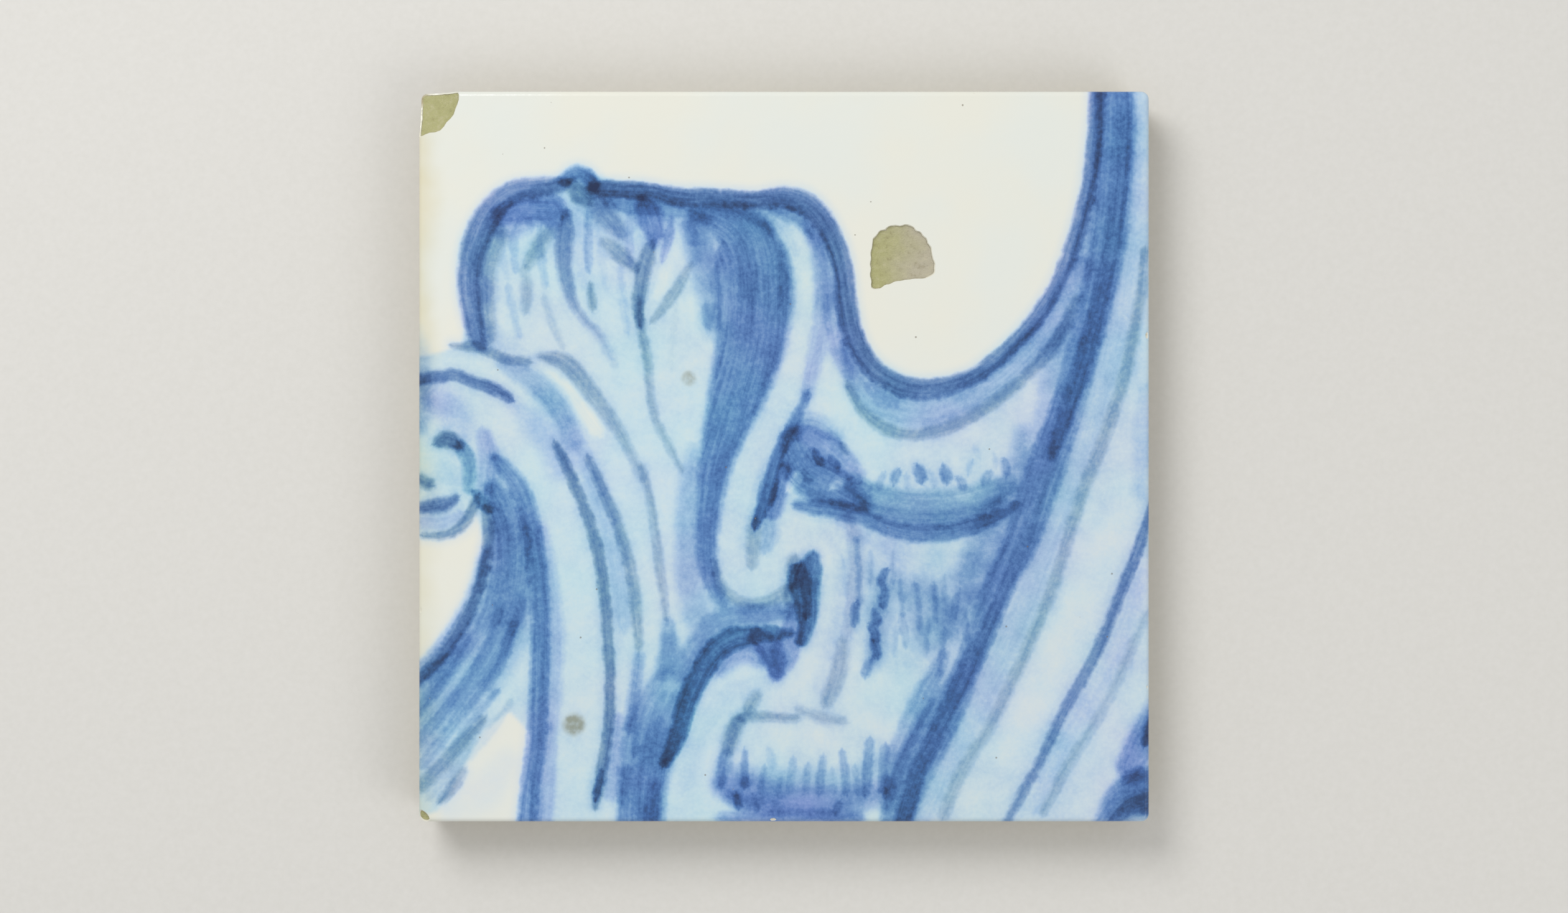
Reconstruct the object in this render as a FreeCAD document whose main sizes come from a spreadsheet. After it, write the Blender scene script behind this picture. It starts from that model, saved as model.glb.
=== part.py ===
"""Azulejo tile: one hand-made, tin-glazed earthenware wall tile.

The tile lies on its back with the glazed face up. The origin is at the middle of the back,
+Z points out of the glazed face, +X to the right and +Y to the top of the painted picture.
Its sides draw in towards the back, so that neighbouring faces meet in a thin joint over mortar.
Lengths are in millimetres.
"""

import FreeCAD
import Part
import Sketcher

import os

NODE = "azulejo_tile"
PARTS_FOLDER = "parts"

# Driving dimensions: alias, value, what it measures
SIZES = [
    ("face_side", 140.0, "side of the square face, to the edge before it is rolled"),
    ("tile_thick", 12.0, "thickness from the back to the face"),
    ("side_undercut", 1.6, "how far each side draws in at the back"),
    ("corner_round", 1.6, "radius of the four upright corners"),
    ("glaze_roll", 0.9, "radius where the glaze rolls over the face's edge"),
    ("back_arris", 0.7, "chamfer round the back, left by the trimming knife"),
    ("flake_width", 11.0, "width of the round flake of glaze that is lost"),
    ("flake_deep", 0.9, "depth of that flake at its middle"),
    ("flake_from_right", 48.0, "flake's middle to the tile's right edge"),
    ("flake_from_top", 32.0, "flake's middle to the tile's top edge"),
    ("chip_leg", 8.4, "length of the broken corner along each edge of the face"),
    ("chip_drop", 3.2, "depth of the broken corner down its upright edge"),
    ("chip_hollow", 2.0, "how far outside each edge the hollow of the break is centred"),
]

# Places, angles and radii that follow from the sheet
HALF_FACE = "sizes.face_side / 2"
UNDERCUT_ANGLE = "atan(sizes.side_undercut / sizes.tile_thick)"
FLAKE_RADIUS = "((sizes.flake_width / 2) ^ 2 + sizes.flake_deep ^ 2) / (2 * sizes.flake_deep)"
CHIP_RISE = (
    "(sizes.chip_leg ^ 2 + 2 * sizes.chip_leg * sizes.chip_hollow - sizes.chip_drop ^ 2)"
    " / (2 * sizes.chip_drop)"
)
CHIP_RADIUS = f"sqrt(2 * sizes.chip_hollow ^ 2 + (sizes.chip_drop + {CHIP_RISE}) ^ 2)"

NEAR = 1e-4  # two lengths closer than this are the same


def make_sheet(doc):
    """The spreadsheet of driving dimensions, one row each: name, value, meaning."""
    sheet = doc.addObject("Spreadsheet::Sheet", "sizes")
    for row, (alias, value, meaning) in enumerate(SIZES, start=1):
        sheet.set(f"A{row}", alias)
        sheet.set(f"B{row}", str(value))
        sheet.set(f"C{row}", meaning)
        sheet.setAlias(f"B{row}", alias)
    doc.recompute()
    return sheet


def square_sketch(body, name, side):
    """A square about the Z axis on the body's XY plane, with its side bound to the sheet."""
    sketch = body.newObject("Sketcher::SketchObject", name)
    plane = next(f for f in body.Origin.OriginFeatures if f.Role == "XY_Plane")
    sketch.AttachmentSupport = [(plane, "")]
    sketch.MapMode = "FlatFace"
    corners = [FreeCAD.Vector(x, y, 0) for x, y in ((-1, -1), (1, -1), (1, 1), (-1, 1))]
    for start, end in zip(corners, corners[1:] + corners[:1]):
        sketch.addGeometry(Part.LineSegment(start, end))
    begin, finish = 1, 2
    origin_point = (-1, 1)
    for line in range(4):
        sketch.addConstraint(Sketcher.Constraint("Coincident", line, finish, (line + 1) % 4, begin))
    for line, direction in enumerate(("Horizontal", "Vertical", "Horizontal", "Vertical")):
        sketch.addConstraint(Sketcher.Constraint(direction, line))
    sketch.addConstraint(Sketcher.Constraint("Symmetric", 0, begin, 2, begin, *origin_point))
    for label, kind, line in (("width", "DistanceX", 0), ("depth", "DistanceY", 1)):
        made = sketch.addConstraint(Sketcher.Constraint(kind, line, begin, line, finish, 2.0))
        sketch.renameConstraint(made, label)
        sketch.setExpression(f"Constraints.{label}", side)
    return sketch


def faces_where(feature, wanted):
    """Names of the feature's flat faces for whose normal's Z part wanted is true."""
    faces = enumerate(feature.Shape.Faces, start=1)
    return [f"Face{number}" for number, face in faces if wanted(face.normalAt(0, 0).z)]


def edges_where(feature, wanted):
    """Names of the feature's edges for whose two ends wanted(one Z, the other Z) is true."""
    edges = enumerate(feature.Shape.Edges, start=1)
    return [f"Edge{number}" for number, e in edges if wanted(e.Vertexes[0].Z, e.Vertexes[-1].Z)]


def make_slab(doc, body):
    """The pressed square of clay, with its four sides drawn in towards the back."""
    slab = body.newObject("PartDesign::Pad", "slab")
    slab.Profile = square_sketch(body, "face_outline", "sizes.face_side")
    slab.setExpression("Length", "sizes.tile_thick")
    doc.recompute()
    undercut = body.newObject("PartDesign::Draft", "undercut_sides")
    undercut.Base = (slab, faces_where(slab, lambda z: abs(z) < NEAR))
    undercut.NeutralPlane = (slab, faces_where(slab, lambda z: z > NEAR))
    undercut.setExpression("Angle", UNDERCUT_ANGLE)
    undercut.Reversed = True
    doc.recompute()
    return undercut


def dress(doc, body, kind, name, base, wanted, size_property, size):
    """A fillet or chamfer on the wanted edges of the feature before it."""
    feature = body.newObject(kind, name)
    feature.Base = (base, edges_where(base, wanted))
    feature.setExpression(size_property, size)
    doc.recompute()
    return feature


def break_out(doc, body, name, radius, place):
    """A shell-shaped break: the tile less a ball of that radius about that place."""
    ball = body.newObject("PartDesign::SubtractiveSphere", name)
    ball.setExpression("Radius", radius)
    for axis, distance in zip("xyz", place):
        ball.setExpression(f"Placement.Base.{axis}", distance)
    doc.recompute()


def make_tile(doc, sheet):
    """The fired tile: an undercut slab with rounded edges, and its two old breaks."""
    body = doc.addObject("PartDesign::Body", "tile")
    body.Label = NODE
    slab = make_slab(doc, body)
    face_height = sheet.tile_thick
    corners = dress(doc, body, "PartDesign::Fillet", "upright_corners", slab,
                    lambda a, b: abs(a - b) > NEAR, "Radius", "sizes.corner_round")
    rolled = dress(doc, body, "PartDesign::Fillet", "glaze_edge", corners,
                   lambda a, b: min(a, b) > face_height - NEAR, "Radius", "sizes.glaze_roll")
    dress(doc, body, "PartDesign::Chamfer", "knife_arris", rolled,
          lambda a, b: max(a, b) < NEAR, "Size", "sizes.back_arris")
    break_out(doc, body, "lost_flake", FLAKE_RADIUS, (
        f"{HALF_FACE} - sizes.flake_from_right",
        f"{HALF_FACE} - sizes.flake_from_top",
        f"sizes.tile_thick - sizes.flake_deep + {FLAKE_RADIUS}",
    ))
    break_out(doc, body, "broken_corner", CHIP_RADIUS, (
        f"-({HALF_FACE}) - sizes.chip_hollow",
        f"{HALF_FACE} + sizes.chip_hollow",
        f"sizes.tile_thick + {CHIP_RISE}",
    ))
    return body


def check(doc, body):
    """Stops the build if a feature failed, if one took no clay away, or if the solid is bad."""
    for item in doc.Objects:
        if {"Invalid", "Error"} & set(item.State):
            raise RuntimeError(f"{item.Name} failed: {item.State}")
    shape = body.Shape
    if shape.isNull() or not shape.isValid() or len(shape.Solids) != 1:
        raise RuntimeError("the tile is not one valid solid")
    steps = [f for f in body.Group if f.isDerivedFrom("PartDesign::Feature")]
    for before, after in zip(steps, steps[1:]):
        if after.Shape.Volume > before.Shape.Volume - NEAR:
            raise RuntimeError(f"{after.Name} took nothing away")
    return shape


def main():
    doc = FreeCAD.newDocument("azulejo")
    sheet = make_sheet(doc)
    body = make_tile(doc, sheet)
    shape = check(doc, body)
    os.makedirs(PARTS_FOLDER, exist_ok=True)
    shape.exportStep(os.path.join(PARTS_FOLDER, f"{body.Label}.step"))
    size = shape.optimalBoundingBox(False, False)
    print(f"{body.Label}: {size.XLength:.2f} x {size.YLength:.2f} x {size.ZLength:.2f} mm,"
          f" {shape.Volume / 1000:.1f} cm3")


main()
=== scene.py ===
"""Looks of the azulejo tile: one hand-made wall tile of tin-glazed earthenware, painted in cobalt blue.

The tile is one closed mesh in place of the CAD node. Its painting is a list of brush strokes. For every
vertex of the face the script works out where it lies in each stroke, across and along, and keeps that in
the mesh's attributes. The material turns those distances into crisp strokes with bristle streaks.
Strokes are in percent of the face, x from its left edge and y down from its top edge, as in the photo.
Lengths are in millimetres until the mesh is made.
"""

import math

import bpy
import numpy as np
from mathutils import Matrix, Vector, noise


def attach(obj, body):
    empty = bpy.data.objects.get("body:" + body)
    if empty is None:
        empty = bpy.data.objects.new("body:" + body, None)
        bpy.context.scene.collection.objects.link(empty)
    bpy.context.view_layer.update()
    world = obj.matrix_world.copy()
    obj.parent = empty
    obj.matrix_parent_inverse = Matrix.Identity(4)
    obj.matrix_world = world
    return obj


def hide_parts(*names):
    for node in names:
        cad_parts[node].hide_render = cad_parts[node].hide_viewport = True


NODE = "azulejo_tile"
MM = 0.001

# The tile, as in the CAD model
FACE = 140.0
THICK = 12.0
UNDERCUT = 1.6
CORNER_ROUND = 1.6
ROLL = 0.9
ARRIS = 0.7
LEAN = math.atan(UNDERCUT / THICK)
TANGENT = ROLL / math.tan((math.pi / 2 - LEAN) / 2)
FLAT = FACE / 2 - TANGENT
RIM_ROUND = CORNER_ROUND - TANGENT

# The sides under the rolled edge: how far out from the rim of the flat face, height, share of its relief
SIDE_TOP = (ROLL * math.cos(LEAN), THICK - ROLL - ROLL * math.sin(LEAN), 1.0)
SIDE_FOOT = (TANGENT - UNDERCUT * (1 - ARRIS / THICK), ARRIS, 0.0)

# The mesh
FACE_CELLS = 284
CORNER_CELLS = 3
ROLL_STEPS = 5
SIDE_STEPS = 3
BACK_EVERY = 4
EDGE_WOBBLE = 0.25
SUNK = 0.12
EDGE_FALL = 0.16
EDGE_FALL_WIDE = 6
SMOOTH_BELOW = 38

# The breaks: outline of the lost flake, the broken corner and the nicks, in percent of the face.
# A nick is x, y, reach and depth. A cutter's ring is its share of the outline and its height over the face.
GLAZE_THICK = 0.3
FLAKE = [(62.2, 20.3), (63.5, 19), (65.5, 18.3), (67.5, 18.6), (69.2, 20), (70.3, 22.3), (70.7, 24.6),
         (69.2, 25.6), (66.5, 25.9), (64, 26.6), (62.3, 27.2), (61.8, 25), (61.8, 22.5)]
FLAKE_UNEVEN = 0.12
FLAKE_ROUGH = 0.22
FLAKE_STEP = [(1.12, 1.5), (1.02, 0.3), (0.99, -0.25), (0.955, -0.5)]
FLAKE_SHARES = np.linspace(0.88, 0.06, 14)
FLAKE_DEEPER = 0.4
CORNER_MIDDLE = (-2.2, -0.8)
CORNER_REACH = 8.0
CORNER_DEEP = 3.3
CORNER_ROUGH = 0.5
NICKS = [(100.2, 33.5, 0.9, 0.8), (48.5, 100.3, 1.0, 0.9), (-0.2, 71.0, 0.8, 0.8), (0.0, 99.8, 1.7, 1.3),
         (76.0, -0.2, 0.7, 0.7), (100.1, 81.5, 0.7, 0.8)]
NICK_ROUGH = 0.25
CHIP_TOP = [(1.1, 1.5), (1.0, 0.0)]
CHIP_POINTS = 72
CHIP_UNEVEN = 0.25
CHIP_RING_GAP = 0.45
CHIP_LEAST_RINGS = 8
ROUGH_BELOW = 0.25

# The painting: hues as (towards violet or green, towards grey), and how strokes are laid on the vertices
PLAIN, VIOLET, TEAL, GREY, DUSK = (0.0, 0.0), (1.0, 0.0), (-1.0, 0.0), (0.0, 1.0), (0.6, 0.6)
GROUND_TONE = 0.15
GROUND_HUE = -0.9
GROUND_SOFT = 0.5
RIGHT_PART = (10.0, 50.0)
RIGHT_DEEPER = 0.03
RIGHT_BLUER = 0.8
HALO_SHARE = 0.28
HALO_WIDER = 0.45 * FACE / 100
HALO_SOFT = 1.6
HATCH_SWAY = 0.35
HATCH_SOFT = 0.5
PAINT_DOWN = 1.6
LINE_STEP = 0.7
RUN_GAP = 11.0
THINNEST = 0.15
WASH_SOFT = 1.6
LAYER_ROOM = 1.6
NIB = 0.3
EDGE_ROOM = 1.1
IDLE_SOFT = 0.5
FAR = 9.0

# How the material draws them: ragged edges and streaks in mm and waves to a mm, pooling, changes of hue
RAGGED = 1.1
STREAK_ALONG = 0.06
STREAK_ACROSS = 1.1
LAYER_SHIFT = 37.0
POOLING = 0.2
MIDDLE_TONE = 0.92
MOST_POOLED = 1.2
HUE_BASE = 0.08
HUE_DRIFT = 0.45

# Dirt spots on the glaze: x, y, radius, amount
SPECKS = [(37.0, 39.3, 1.3, 0.5), (21.3, 86.6, 1.8, 0.85)]

# Colours as a screen shows them, 0 to 255. The first are those of the glaze for each amount of blue.
BLUES = [(0.0, (230, 231, 222)), (0.15, (202, 219, 231)), (0.30, (167, 195, 226)), (0.50, (121, 160, 206)),
         (0.70, (85, 129, 187)), (0.90, (58, 100, 161)), (1.15, (42, 73, 122)), (1.5, (26, 44, 84))]
MOST_BLUE = 1.5
EDGE_CREAM = (238, 228, 196)
SPECK = (126, 130, 106)
PINHOLE = (120, 104, 82)
GLAZE_SECTION = (226, 222, 204)
OLD_CLAY = [(197, 187, 150), (184, 172, 144)]
BROKEN_CLAY = [(182, 180, 129), (190, 183, 161)]
CLAY_PIT = (134, 122, 86)
CLAY_GRAIN = (206, 199, 166)
BOARD = [(214, 212, 206), (222, 220, 215)]

# Warm and cool clouds in the white, and how far violet and grey change red, green and blue
COOL_CLOUD, WARM_CLOUD = (0.965, 0.985, 1.0, 1), (1.0, 0.985, 0.955, 1)
TINTS = {"X": (0.16, 0.1), "Y": (-0.07, -0.03), "Z": (0.07, -0.26)}

# Places and heights in the material, in mm: the cream tint by the left edge, how far the glaze ran down,
# relief
CREAM_FROM, CREAM_TO = -69.5, -61.5
GLAZE_RUN = 3.2
GLAZE_RUN_UNEVEN = 5.5
PEEL = 0.05
PIT_DEEP = 0.06
CLAY_GRIT = 0.35

# The studio
SKY = 0.56
KEY = 4.0
FILL = 1.8
CAMERA_HEIGHT = 0.72
LENS = 85.0
SENSOR = 36.0
FLOOR_HALF = 900
FLOOR_GAP = 0.4

# Where the parts of the surface lie in the flat layout: margin, face, sides, back
MARGIN = 0.01
FACE_SHARE = 0.8
BESIDE = 0.83
SIDE_EVERY = 0.042
SIDE_WIDE = 0.034
BACK_SHARE = 0.16
FACES_UP, FACES_DOWN = 0.05, -0.9


def brush(tone, soft, hue, *points):
    """One brush stroke: pigment, or pigment at its two ends, soft edge in mm, hue and points of its middle.

    A point is x, y and half-width. One without a half-width has that of the point before it.
    """
    start, end = tone if isinstance(tone, tuple) else (tone, tone)
    line = []
    for point in points:
        half = point[2] if len(point) == 3 else line[-1][2]
        line.append((point[0], point[1], half))
    return {"start": start, "end": end, "points": line, "soft": soft, "hue": hue[0], "grey": hue[1]}


STROKES = [
    # leaf head: outline with its bump, which runs on round the bay
    brush((0.44, 0.5), 0.8, DUSK, (8.8, 35, 0.6), (8.1, 33.5, 1), (7.4, 30.4, 1.4), (7, 27.2, 1.5),
          (7.1, 24, 1.6), (7.9, 20.8, 1.8), (9.1, 17.9, 1.7), (10.8, 15.5, 1.5), (13.2, 13.9, 1.4),
          (15.8, 13.4, 1.3), (18.3, 13.1, 1.1), (20, 12.7, 0.7)),
    brush((0.4, 0.62), 0.7, PLAIN, (19.8, 12.3, 0.6), (20.7, 11.6, 0.9), (21.8, 11.3, 1), (22.9, 11.6),
          (23.7, 12.4, 0.9), (24.1, 13.3, 0.6)),
    brush(0.42, 0.9, GREY, (21, 13, 0.7), (22, 14, 1.2), (23, 14.8, 1)),
    brush((0.6, 0.44), 0.65, DUSK, (24, 13.4, 0.9), (26.4, 13.5, 1.1), (29.6, 13.6), (32, 13.8, 1),
          (34.4, 14.4, 1.1), (37, 14.7, 1.2), (40, 14.6), (43, 14.8, 1.1), (46, 15), (48, 14.8, 1.3),
          (50, 14.6, 1.4), (52.4, 15.2, 1.5), (54.4, 16.7), (56.1, 19.1, 1.4), (57.4, 22, 1.3), (58.1, 25),
          (58.5, 28.6, 1.4), (59.1, 32.1), (60.2, 35.1, 1.3), (62, 37.8), (64.4, 39.6), (66.8, 40.6, 1.4),
          (69.4, 40.8), (72.2, 40.4, 1.2), (75.4, 39.3, 1.1), (78.3, 37.4), (81, 35, 1), (83.7, 32.1),
          (85.8, 29.2), (87.6, 26), (89.1, 22.2), (90.5, 17.8), (91.6, 13.1), (92.3, 8.3), (92.7, 3.3),
          (92.8, -1)),
    brush(0.2, 1.2, VIOLET, (54.6, 20.4, 0.7), (55.8, 24, 1), (56.4, 28, 1.1), (56.9, 32), (57.6, 35.5),
          (59, 38.4, 0.8)),
    brush((0.3, 0.4), 0.9, PLAIN, (48.6, 16.2, 0.5), (50.6, 16.8, 0.9), (52.3, 17.8), (53.4, 19.4, 0.5)),
    # leaf head: shading under its edge
    brush(0.26, 1.4, GREY, (9.6, 33.5, 0.8), (9.2, 28, 1.1), (9.5, 23.5, 1.2), (10.8, 19.7, 1.3)),
    brush(0.4, 1.1, VIOLET, (11.2, 17, 1.1), (14.3, 16.3, 1.6), (18.2, 16.4, 2)),
    brush(0.14, 1.1, VIOLET, (11, 18.8, 1), (12.6, 19, 1.2), (14.8, 18.4, 1)),
    brush((0.04, 0.14), 0.8, PLAIN, (17.2, 17, 0.9), (18.2, 18.6, 1), (18.6, 19.6, 0.6)),
    brush(0.08, 0.9, PLAIN, (21.8, 15, 0.7), (23, 15.8, 1.1), (24.6, 16.2, 0.9)),
    brush(0.36, 1.3, DUSK, (24.8, 15.6, 1.2), (25.6, 17, 1.4), (26.8, 18.4, 1.1), (27.6, 19.6, 0.5)),
    brush(0.4, 0.9, VIOLET, (31, 15.8, 1.3), (31.7, 17.4, 1.8), (32.2, 19, 1.4), (32.2, 20.6, 0.7)),
    brush((0.36, 0.3), 1.1, PLAIN, (26.6, 15.2, 0.9), (29, 15.6, 1.2), (32, 15.9), (35, 16.2, 1),
          (37, 16.4, 0.6)),
    brush(0.12, 1, VIOLET, (36.4, 18.4, 0.7), (37, 19.2, 0.9), (37.6, 20.6, 0.7)),
    brush(0.06, 2.2, PLAIN, (22, 18, 1.6), (26, 20, 2.2), (31, 20.5, 2), (35.5, 19, 1.6)),
    brush(0.12, 0.7, VIOLET, (9.1, 26, 0.5), (9.6, 27.1, 0.7), (9.4, 28.3, 0.5)),
    brush(0.05, 1.4, PLAIN, (10, 33.2, 1.2), (12, 34.4, 1.3), (13.5, 35, 0.9)),
    # leaf head: streaks inside
    brush((0.46, 0.12), 0.8, DUSK, (20.2, 17, 0.6), (20.1, 19, 1), (19.9, 21.6, 1.1), (20, 24.5, 1),
          (20.5, 27, 0.8), (21.5, 29.6, 0.5), (22.9, 31.6, 0.4), (24.4, 33, 0.5), (25.7, 35.2),
          (26.9, 37.5, 0.3)),
    brush(0.04, 0.8, VIOLET, (21.7, 16.6, 0.6), (22, 20.6, 0.8), (22.5, 26, 0.6)),
    brush((0.34, 0.36), 0.7, GREY, (31.8, 21.2, 0.6), (31.3, 23, 1), (30.6, 25.8, 0.9), (30.1, 29.4, 0.75),
          (30.3, 32, 0.4)),
    brush((0.26, 0.18), 0.6, GREY, (30.1, 28.6, 0.3), (30.5, 32.4, 0.65), (31.2, 36, 0.6), (31.6, 40, 0.55),
          (32, 43, 0.5), (33, 46.2), (34.5, 49, 0.45), (36, 52, 0.25)),
    brush((0.18, 0.24), 0.6, GREY, (37.2, 24, 0.4), (35.8, 26.4, 0.7), (34.2, 28.9), (32.2, 31.4, 0.4)),
    brush((0.22, 0.3), 0.8, GREY, (25.6, 20.8, 0.6), (27.4, 22.2, 1), (29.4, 24, 0.6)),
    brush(0.26, 1.2, GREY, (17.6, 19.6, 0.7), (16.4, 21.4, 0.9), (15.2, 23.4, 0.6)),
    brush(0.2, 1, GREY, (14.6, 24.5, 0.4), (14.9, 27.2, 0.7), (14.6, 30, 0.4)),
    brush(0.3, 0.7, GREY, (23.6, 26.6, 0.3), (23.7, 28.2, 0.5), (23.9, 29.8, 0.3)),
    brush(-0.05, 0.8, PLAIN, (35.2, 20.5, 0.6), (33.9, 25, 0.8), (32.8, 28, 0.5)),
    brush(0.06, 0.6, PLAIN, (11.2, 19.5, 0.4), (11.4, 22.5, 0.56), (12.2, 25.5, 0.32)),
    brush(0.13, 0.6, PLAIN, (13.4, 18.6, 0.4), (13, 21.4, 0.56), (13.3, 24.5, 0.32)),
    brush(0.12, 0.6, PLAIN, (16.8, 19, 0.4), (16.8, 22.5, 0.56), (17.4, 26.5, 0.32)),
    brush(0.2, 0.6, PLAIN, (23.2, 17, 0.4), (23.2, 20.5, 0.56), (23.3, 24.5, 0.32)),
    brush(0.06, 0.6, PLAIN, (24.6, 18.5, 0.4), (25.1, 22.5, 0.56), (25.6, 27, 0.32)),
    brush(0.12, 0.6, VIOLET, (28.9, 17, 0.48), (28.8, 20, 0.56), (29, 23.5, 0.32)),
    brush(0.1, 0.6, PLAIN, (27.6, 24.5, 0.4), (27.9, 28, 0.48), (28.6, 33, 0.32)),
    brush(0.26, 0.6, VIOLET, (34.6, 17.5, 0.4), (34.2, 20, 0.56), (33.4, 23, 0.32)),
    brush(0.1, 0.6, PLAIN, (12.3, 27, 0.4), (13, 30, 0.48), (13.8, 33.5, 0.32)),
    brush(0.1, 0.6, GREY, (17.2, 28.5, 0.32), (18.2, 31.5, 0.48), (19.8, 35, 0.32)),
    brush(0.03, 0.6, GREY, (35.4, 29.5, 0.4), (34.8, 33.5, 0.48), (34.6, 38, 0.32)),
    # broad stroke down the leaf
    brush((0.42, 0.44), 1.2, PLAIN, (38.2, 16.6, 0.8), (41, 17.3, 1.9), (43.8, 19.2, 3.5),
          (45.4, 22.6, 4.7), (45.8, 26.4, 5.3), (45.8, 30, 5.1), (45.4, 34.4, 4.6), (44.6, 38, 4.2),
          (43.4, 42, 3.6), (41.8, 47, 2.7), (40.6, 51, 2.1), (39.9, 55, 1.7), (39.4, 60, 1.4),
          (39.5, 64, 1.1), (40.2, 67.5, 0.9), (41.6, 69.8, 0.6)),
    brush(-0.16, 0.9, PLAIN, (41.3, 25.5, 0.8), (41.8, 28, 1.2), (42, 31, 0.6)),
    brush((0.02, -0.1), 0.7, PLAIN, (42.8, 32, 0.5), (43, 35.5, 0.8), (42.5, 39.5, 0.7), (41.6, 43, 0.4)),
    brush(0.1, 1, PLAIN, (44, 19.5, 0.9), (45, 24, 1.3), (45.6, 28.5, 1.1), (45.4, 33, 0.6)),
    brush((0.1, 0.22), 1.1, PLAIN, (42, 16.5, 0.8), (44.6, 16.7, 1.2), (46.8, 17.5, 1.1),
          (48.4, 19.1, 0.6)),
    brush(0.12, 0.7, PLAIN, (49.6, 21, 0.4), (50.2, 23, 0.6), (50.2, 26), (49.8, 29, 0.5)),
    brush(0.06, 0.7, PLAIN, (49.4, 24, 0.4), (49.8, 28, 0.7), (49.4, 32, 0.8), (48.4, 36.4, 0.9),
          (46.9, 40.4, 1), (45, 44), (43.2, 47.5), (41.5, 51, 0.8), (40.5, 55), (40, 60, 0.7),
          (40.1, 64, 0.4)),
    brush(0.16, 0.7, PLAIN, (39.3, 29.6, 0.4), (39.6, 31, 0.8), (39.8, 32.4, 0.4)),
    brush((0.5, 0.2), 1.7, PLAIN, (38, 18, 1.5), (38.6, 21, 1.9), (39.2, 24.6, 1.7), (39.6, 28.6, 1.3),
          (39.8, 33, 0.8)),
    brush(0.22, 1.6, PLAIN, (37.6, 49, 0.6), (36.9, 55, 1.2), (36.7, 61, 1.5), (37, 67, 1.6), (37.6, 71.5)),
    # ribbon beside it
    brush(0.08, 0.6, PLAIN, (47.2, 16.2, 0.5), (49.2, 17.4, 0.8), (50.6, 19.6), (51.6, 22, 0.5)),
    brush(0.18, 1, VIOLET, (53.4, 18.6, 0.6), (54.6, 22, 0.9), (55.1, 26, 1), (55.2, 30), (54.7, 34),
          (53.9, 38, 0.9), (53.2, 41.5, 0.7)),
    brush(0.02, 0.7, PLAIN, (49.3, 43, 1.6), (47.5, 47, 1.7), (46, 51), (44.7, 55), (43.6, 59),
          (43, 63, 1.6), (43.8, 66.5), (46, 67.8, 1.5), (48.5, 67, 1.4)),
    brush((0.34, 0.6), 0.6, PLAIN, (53.3, 41.3, 0.4), (52.1, 43.9, 0.65), (51.1, 46, 0.8),
          (49.9, 48.4, 0.85), (48.9, 50.8), (48.1, 53.5, 1.05), (47.5, 55.8, 1.1), (46.7, 57.8, 0.75),
          (46.1, 59.6, 0.4)),
    brush(0.22, 0.8, GREY, (46, 59, 0.6), (45.7, 61.8, 0.9), (45.7, 64.6, 0.6)),
    brush(0.2, 1, PLAIN, (47.6, 58.4, 0.6), (48.2, 60.4, 1), (47.6, 62.4, 0.7)),
    brush(0.18, 0.6, GREY, (40.6, 64.5, 0.4), (41.2, 67, 0.6), (42.6, 69, 0.7), (44.8, 70), (47, 70),
          (49, 69.2, 0.8), (50.6, 68, 0.6)),
    # band under the bay
    brush(0.18, 1.2, PLAIN, (58.6, 35.5, 1), (59.9, 39, 1.5), (61.9, 41.8, 1.8), (64.8, 43.4, 1.9),
          (68, 44), (71.5, 43.7, 1.8), (75, 42.3, 1.7), (78.5, 40.2), (81.5, 37.8, 1.8), (84.5, 34.8, 2),
          (87, 31.5, 2.1), (89, 27.8, 1.9), (90.5, 24, 1.4)),
    brush(0.12, 0.8, VIOLET, (61.8, 40.6, 0.7), (63.4, 42.2, 1), (65, 43, 0.6)),
    brush((0.28, 0.22), 0.7, GREY, (58.7, 40.2, 0.4), (60.3, 43.2, 0.6), (62.8, 45.6, 0.7), (66, 46.9),
          (69, 46.9), (72, 46.2), (75, 44.9), (78, 43), (81, 40.8), (83.6, 38.5), (85.8, 36.2, 0.8),
          (87.4, 34), (88.8, 31.4, 0.7), (89.8, 28.6, 0.4)),
    brush((0, 0.1), 1.3, PLAIN, (85, 34, 1), (87.6, 31, 1.5), (89.6, 27.4), (91, 23.4, 1.2),
          (91.9, 19.6, 0.8)),
    brush((0.22, 0.12), 1.7, PLAIN, (88.8, 32, 0.7), (87.7, 35.2, 1.2), (86.6, 38.6, 1.3), (85.6, 43),
          (84.4, 47, 1.1)),
    brush(-0.06, 0.9, VIOLET, (76.6, 40.4, 0.5), (79, 39.4, 0.8), (81, 37.9, 0.5)),
    # scroll band: wash over its whole width, its dark side and the shading beside it
    brush((0.34, 0.3), 0.9, PLAIN, (95.4, -1, 2.5), (95.4, 4), (95.2, 9), (94.9, 14), (94.4, 19),
          (93.7, 24, 2.4), (92.6, 29, 2.2), (91.3, 34, 2.1), (89.9, 39, 2), (88.4, 44, 2.1),
          (86.6, 49, 2.4), (84.9, 54, 2.6), (83.5, 58.5, 2.4), (82, 62.5, 2.1), (80, 66.5, 2),
          (78, 71, 1.9), (76.3, 75.5, 1.7), (74.5, 80, 1.8), (72.2, 84.5, 2.4), (69.6, 89, 2.7),
          (67.1, 94, 2.6), (65.6, 99, 2.2), (65.2, 101, 2)),
    brush((0.14, 0.36), 0.8, PLAIN, (96.4, -1, 1), (96.3, 5, 1.1), (96, 10, 1.2), (95.5, 15), (94.8, 20),
          (93.9, 25), (92.8, 30), (91.5, 35), (90.1, 39.4, 1.1), (88.7, 43.4), (87.6, 46.8, 0.9),
          (86.6, 49.8, 0.5)),
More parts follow.
